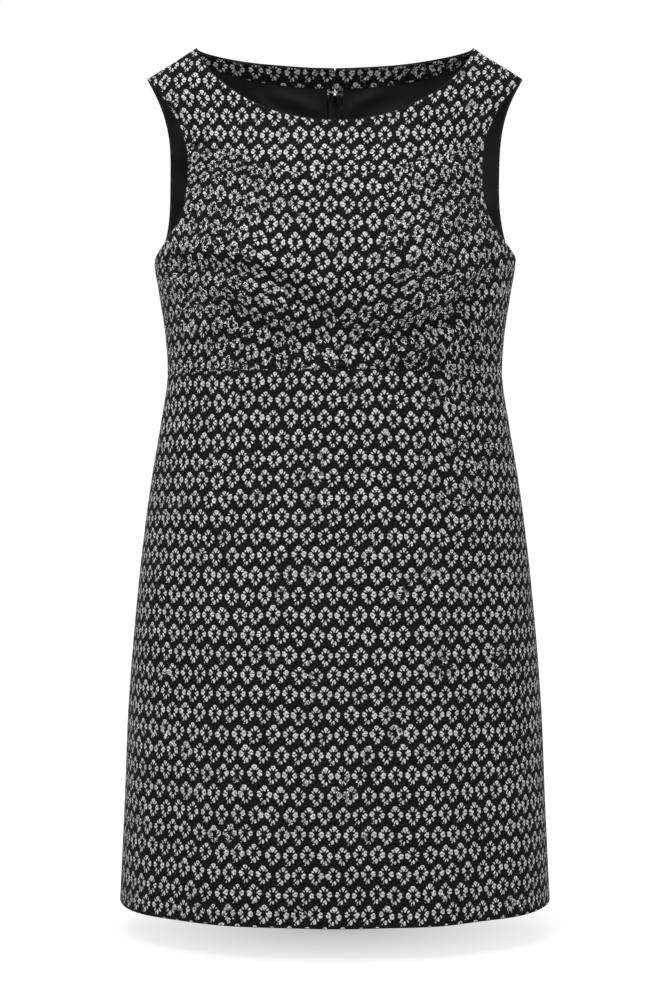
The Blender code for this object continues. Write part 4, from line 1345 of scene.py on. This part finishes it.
# %% Zip coil and its stitching
coil_cloth = make_plain_cloth("zip coil", (0.010, 0.010, 0.011), 0.0004, 0.42, 0.0, 0.00003)
COIL_TOP_Z = -0.0150
SLIDER_LOW, SLIDER_HIGH = -0.0372, -0.0278
COIL_PITCH, COIL_LENGTH, COIL_WIDTH, COIL_HEIGHT = 0.00125, 0.0024, 0.00075, 0.0009
CLOSED_X, PARTED_X = 0.0009, 0.0030
ZIP_STITCH_X = 0.0062
coil_depth = LINING_DEPTH + TAPE + 0.00055
zip_stitch_z = np.linspace(-0.020, ZIP_END_Z + 0.002, 400)
for half, flip in HALVES:
    z = np.arange(COIL_TOP_Z, ZIP_END_Z + 0.004, -COIL_PITCH)
    z = z + (0.0 if flip > 0 else COIL_PITCH / 2)
    z = z[(z < SLIDER_LOW) | (z > SLIDER_HIGH)]
    x = np.where(z > SLIDER_HIGH, PARTED_X, CLOSED_X) * flip
    points, normals = on_cloth("back", x, z, coil_depth)
    across = np.tile(np.array([[1.0, 0.0, 0.0]]), (len(z), 1))
    lay_bars("zip_coil_" + half, points, across, normals, COIL_LENGTH, COIL_WIDTH, COIL_HEIGHT,
             coil_cloth)
for half, flip in HALVES:
    side_x = flip * (ZIP_STITCH_X + 0 * zip_stitch_z)
    stitch_line("zip_stitch_" + half, "back", side_x, zip_stitch_z, 0.0030)
    low_x = flip * np.linspace(0.0058, 0.0006, 20)
    stitch_line("zip_end_stitch_" + half, "back", low_x, ZIP_END_Z - 0.0005 + 0 * low_x, 0.0022)

# %% [markdown]
# ## Metal
# The hook, eye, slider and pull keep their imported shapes. Real ones are plated wire and cast
# alloy: bright where they rub, duller elsewhere. An even finish would look painted, so a small
# group drives both roughness and colour.

# %% Metal finishes
def make_plating_group():
    tree, given, result = new_group(
        "rubbed plating", [("Scale", "Float", 700.0)], [("Rub", "Float"), ("Grit", "Float")]
    )
    place = tree.nodes.new("ShaderNodeTexCoord").outputs["Object"]
    wide = noise_node(tree, place, 1.0, 3.0)
    feed(tree, wide.inputs["Scale"], given.outputs["Scale"])
    fine = noise_node(tree, place, 4200.0, 2.0)
    feed(tree, result.inputs["Rub"], remap(tree, wide.outputs[0], 0.35, 0.65))
    feed(tree, result.inputs["Grit"], fine.outputs[0])
    return tree


plating_group = make_plating_group()
print("rubbed plating:", len(plating_group.nodes), "nodes")


# %% Metal of the hook, eye and zip
def make_metal(name, dull, bright, rough):
    material, tree, shader = new_material(name, rough, metallic=1.0)
    plating = use_group(tree, plating_group, Scale=700.0)
    shade = mix_colour(tree, plating.outputs["Rub"], (*dull, 1), (*bright, 1))
    tree.links.new(shade, shader.inputs["Base Color"])
    matt = remap(tree, plating.outputs["Rub"], 0, 1, rough + 0.12, rough - 0.08)
    tree.links.new(matt, shader.inputs["Roughness"])
    add_bump(tree, shader, plating.outputs["Grit"], 0.00002)
    return material


nickel = make_metal("nickel hook", (0.62, 0.62, 0.63), (0.88, 0.88, 0.89), 0.26)
grey_nickel = make_metal("grey nickel eye", (0.20, 0.20, 0.21), (0.42, 0.42, 0.43), 0.38)
black_metal = make_metal("black zip metal", (0.012, 0.012, 0.013), (0.05, 0.05, 0.052), 0.34)
METALS = {"hook": nickel, "eye": grey_nickel, "zip_slider": black_metal, "zip_pull": black_metal}
for node, finish in METALS.items():
    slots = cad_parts[node].data.materials
    for index in range(len(slots)):
        slots[index] = finish
print("metal pieces:", list(METALS))

# %% [markdown]
# ## Hem and facing stitches
# The hem is turned up inside by 35 mm, and a row of stitches holds the lower edge of the facing.
# They are hardly seen, but a real dress is finished inside as well. The turn-up is made from the
# same places as the hem, so it follows every fold.

# %% Hem turn-ups
HEM_ALLOWANCE = 0.035


def hem_piece(name, side, shares, flip=1.0):
    levels = np.linspace(HEM_Z + HEM_ALLOWANCE, HEM_Z + 0.0009, 14)
    x, z = level_places(side, levels, shares)
    if side == "front":
        x, z = mirrored(x, z)
    else:
        x = np.maximum(x, 0.0002)
    normals = form_normals(side, x, z)
    inside = fold_height(side, x * flip, z) - CLOTH + 0.0002
    outer = form_points(side, x, z) + normals * inside[..., None]
    round_x, up = grain_of(side, x, z)
    outer[..., 0] *= flip
    grain = np.stack([round_x * flip, up], axis=-1)
    rounding = rim_rounding(x.shape, lambda i, j: i > 5, 0.0004)
    made = shell(name, outer, normals * np.array([flip, 1, 1]), 0.0009, grain, rounding,
                 (jacquard_reverse, jacquard, ground_cloth))
    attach(made, BODY)
    print(name, len(made.data.polygons), "faces")
    return made


hems = {
    "front_skirt": hem_piece("hem_turn_up_front", "front", np.linspace(0, 0.995, 77)),
    "back_left": hem_piece("hem_turn_up_left", "back", np.linspace(0, 0.995, 60)),
    "back_right": hem_piece("hem_turn_up_right", "back", np.linspace(0, 0.995, 60), -1.0),
}

# %% Facing stitches
facing_x = np.linspace(0.004, 0.128, 160)
row_x, row_z, _, _ = back_upper_places(np.array([FACING_SHARE - 0.012]))
edge_z = np.interp(facing_x, row_x[0], row_z[0])
for half, flip in HALVES:
    stitch_line("facing_stitch_" + half, "back", flip * facing_x, edge_z, 0.0026,
                FACING_DEPTH + 0.00095)

# %% [markdown]
# ## What was cut from flat cloth
# Each piece of woven cloth was cut flat, so its area is worked out, with the pieces that belong
# to it: its hem turn-up, and for a back panel its zip tape. The tapes are woven at their own
# narrow width, so they are skipped.

for made, flat, area in SHEETS:
    node = made.name.removesuffix("_cloth")
    if node.startswith("zip_tape"):
        continue
    area = None if area > 0.999 * flat[0] * flat[1] else max(area, 0.31 * flat[0] * flat[1])
    others = [hems[node]] if node in hems else []
    if node.startswith("back_") and "lining" not in node:
        others.append(bpy.data.objects["zip_tape_" + node.removeprefix("back_") + "_cloth"])
print("sheets:", len(SHEETS))

# %% [markdown]
# ## Floor, light and camera
# The dress hangs a little above a wide pale floor, and the camera sees a white surround. The
# floor's glow is painted light: it glows less under the dress, which paints the soft shadow
# below the hem, and a little more away from it. Large soft lights stand round the dress, the
# strongest in front, above and to the left, so that the folds still read. The surround lights
# the cloth less than it shows: an even white light would wash out every fold. A curved backdrop
# would hide the dress from behind, so the floor is flat.

# %% Floor
FLOOR_Z, FLOOR_HALF = -0.878, 40
floor_paint, floor_tree, floor_shader = new_material("pale floor", 0.9, specular=0.05)
floor_place = floor_tree.nodes.new("ShaderNodeTexCoord").outputs["Object"]
floor_tone = noise_node(floor_tree, floor_place, 3.0).outputs[0]
floor_tone = remap(floor_tree, floor_tone, 0.3, 0.7, 0.11, 0.13)
floor_tree.links.new(floor_tone, floor_shader.inputs["Base Color"])
hem_half = float(section("front_half", HEM_Z))
hem_depth = float(section("front_depth", HEM_Z))
hem_oval = vector_node(floor_tree, "MULTIPLY", floor_place, (1 / hem_half, 1 / hem_depth, 0.0))
from_middle = vector_node(floor_tree, "LENGTH", hem_oval)
# painted shadow: the floor glows less under the dress, and a little more beyond its hem
painted_hem_shadow = remap(floor_tree, from_middle, 0.14, 1.12, 0.50, 0.91)
painted_glow_beyond_hem = remap(floor_tree, from_middle, 1.12, 2.2, 0.0, 0.11)
painted_floor_glow = math_node(floor_tree, "ADD", painted_hem_shadow, painted_glow_beyond_hem)
floor_tree.links.new(painted_floor_glow, floor_shader.inputs["Emission Color"])
floor_shader.inputs["Emission Strength"].default_value = 1.0
corners = np.array([(x * FLOOR_HALF, y * FLOOR_HALF, FLOOR_Z)
                    for x, y in ((-1, -1), (1, -1), (1, 1), (-1, 1))])
floor, _ = add_mesh("floor", corners, [(0, 1, 2, 3)], [floor_paint])
print("floor", round(HEM_Z - FLOOR_Z, 3), "m below the hem")

# %% Lights
SURROUND_LIGHT, SURROUND_SEEN = 0.30, 1.0
world = bpy.data.worlds.new("studio")
bpy.context.scene.world = world
world.use_nodes = True
surround = world.node_tree.nodes["Background"]
surround.inputs[0].default_value = (1, 1, 1, 1)
seen = world.node_tree.nodes.new("ShaderNodeLightPath").outputs["Is Camera Ray"]
strength = remap(world.node_tree, seen, 0, 1, SURROUND_LIGHT, SURROUND_SEEN)
world.node_tree.links.new(strength, surround.inputs[1])


def soft_light(name, place, target, size, power):
    """A square lamp of a size in metres and a power in watts, turned to its target."""
    lamp = bpy.data.lights.new(name, "AREA")
    lamp.shape, lamp.size, lamp.energy = "SQUARE", size, power
    light = bpy.data.objects.new(name, lamp)
    light.location = place
    light.rotation_euler = (Vector(target) - Vector(place)).to_track_quat("-Z", "Y").to_euler()
    bpy.context.scene.collection.objects.link(light)
    print(name, power, "W")


soft_light("key light", (-0.9, -1.7, 2.4), (0, 0, -0.40), 1.4, 112)
soft_light("fill light", (2.0, -2.4, 0.5), (0, 0, -0.45), 1.8, 26)
soft_light("top light", (0.2, -0.5, 2.0), (0, 0, -0.3), 1.6, 13)
soft_light("back light", (0.8, 2.3, 1.3), (0, 0, -0.45), 1.6, 34)

# %% Camera
CAMERA_PLACE = (0.0011, -2.0, -0.4553)
camera_data = bpy.data.cameras.new("camera")
camera_data.lens = 71.43
camera_data.sensor_width = 36.0
camera = bpy.data.objects.new("camera", camera_data)
camera.location = CAMERA_PLACE
camera.rotation_euler = (math.pi / 2, 0, 0)
bpy.context.scene.collection.objects.link(camera)
bpy.context.scene.camera = camera
bpy.context.scene.view_settings.view_transform = "Standard"
print("camera", CAMERA_PLACE, "looks level at the front, with a", camera_data.lens, "mm lens")
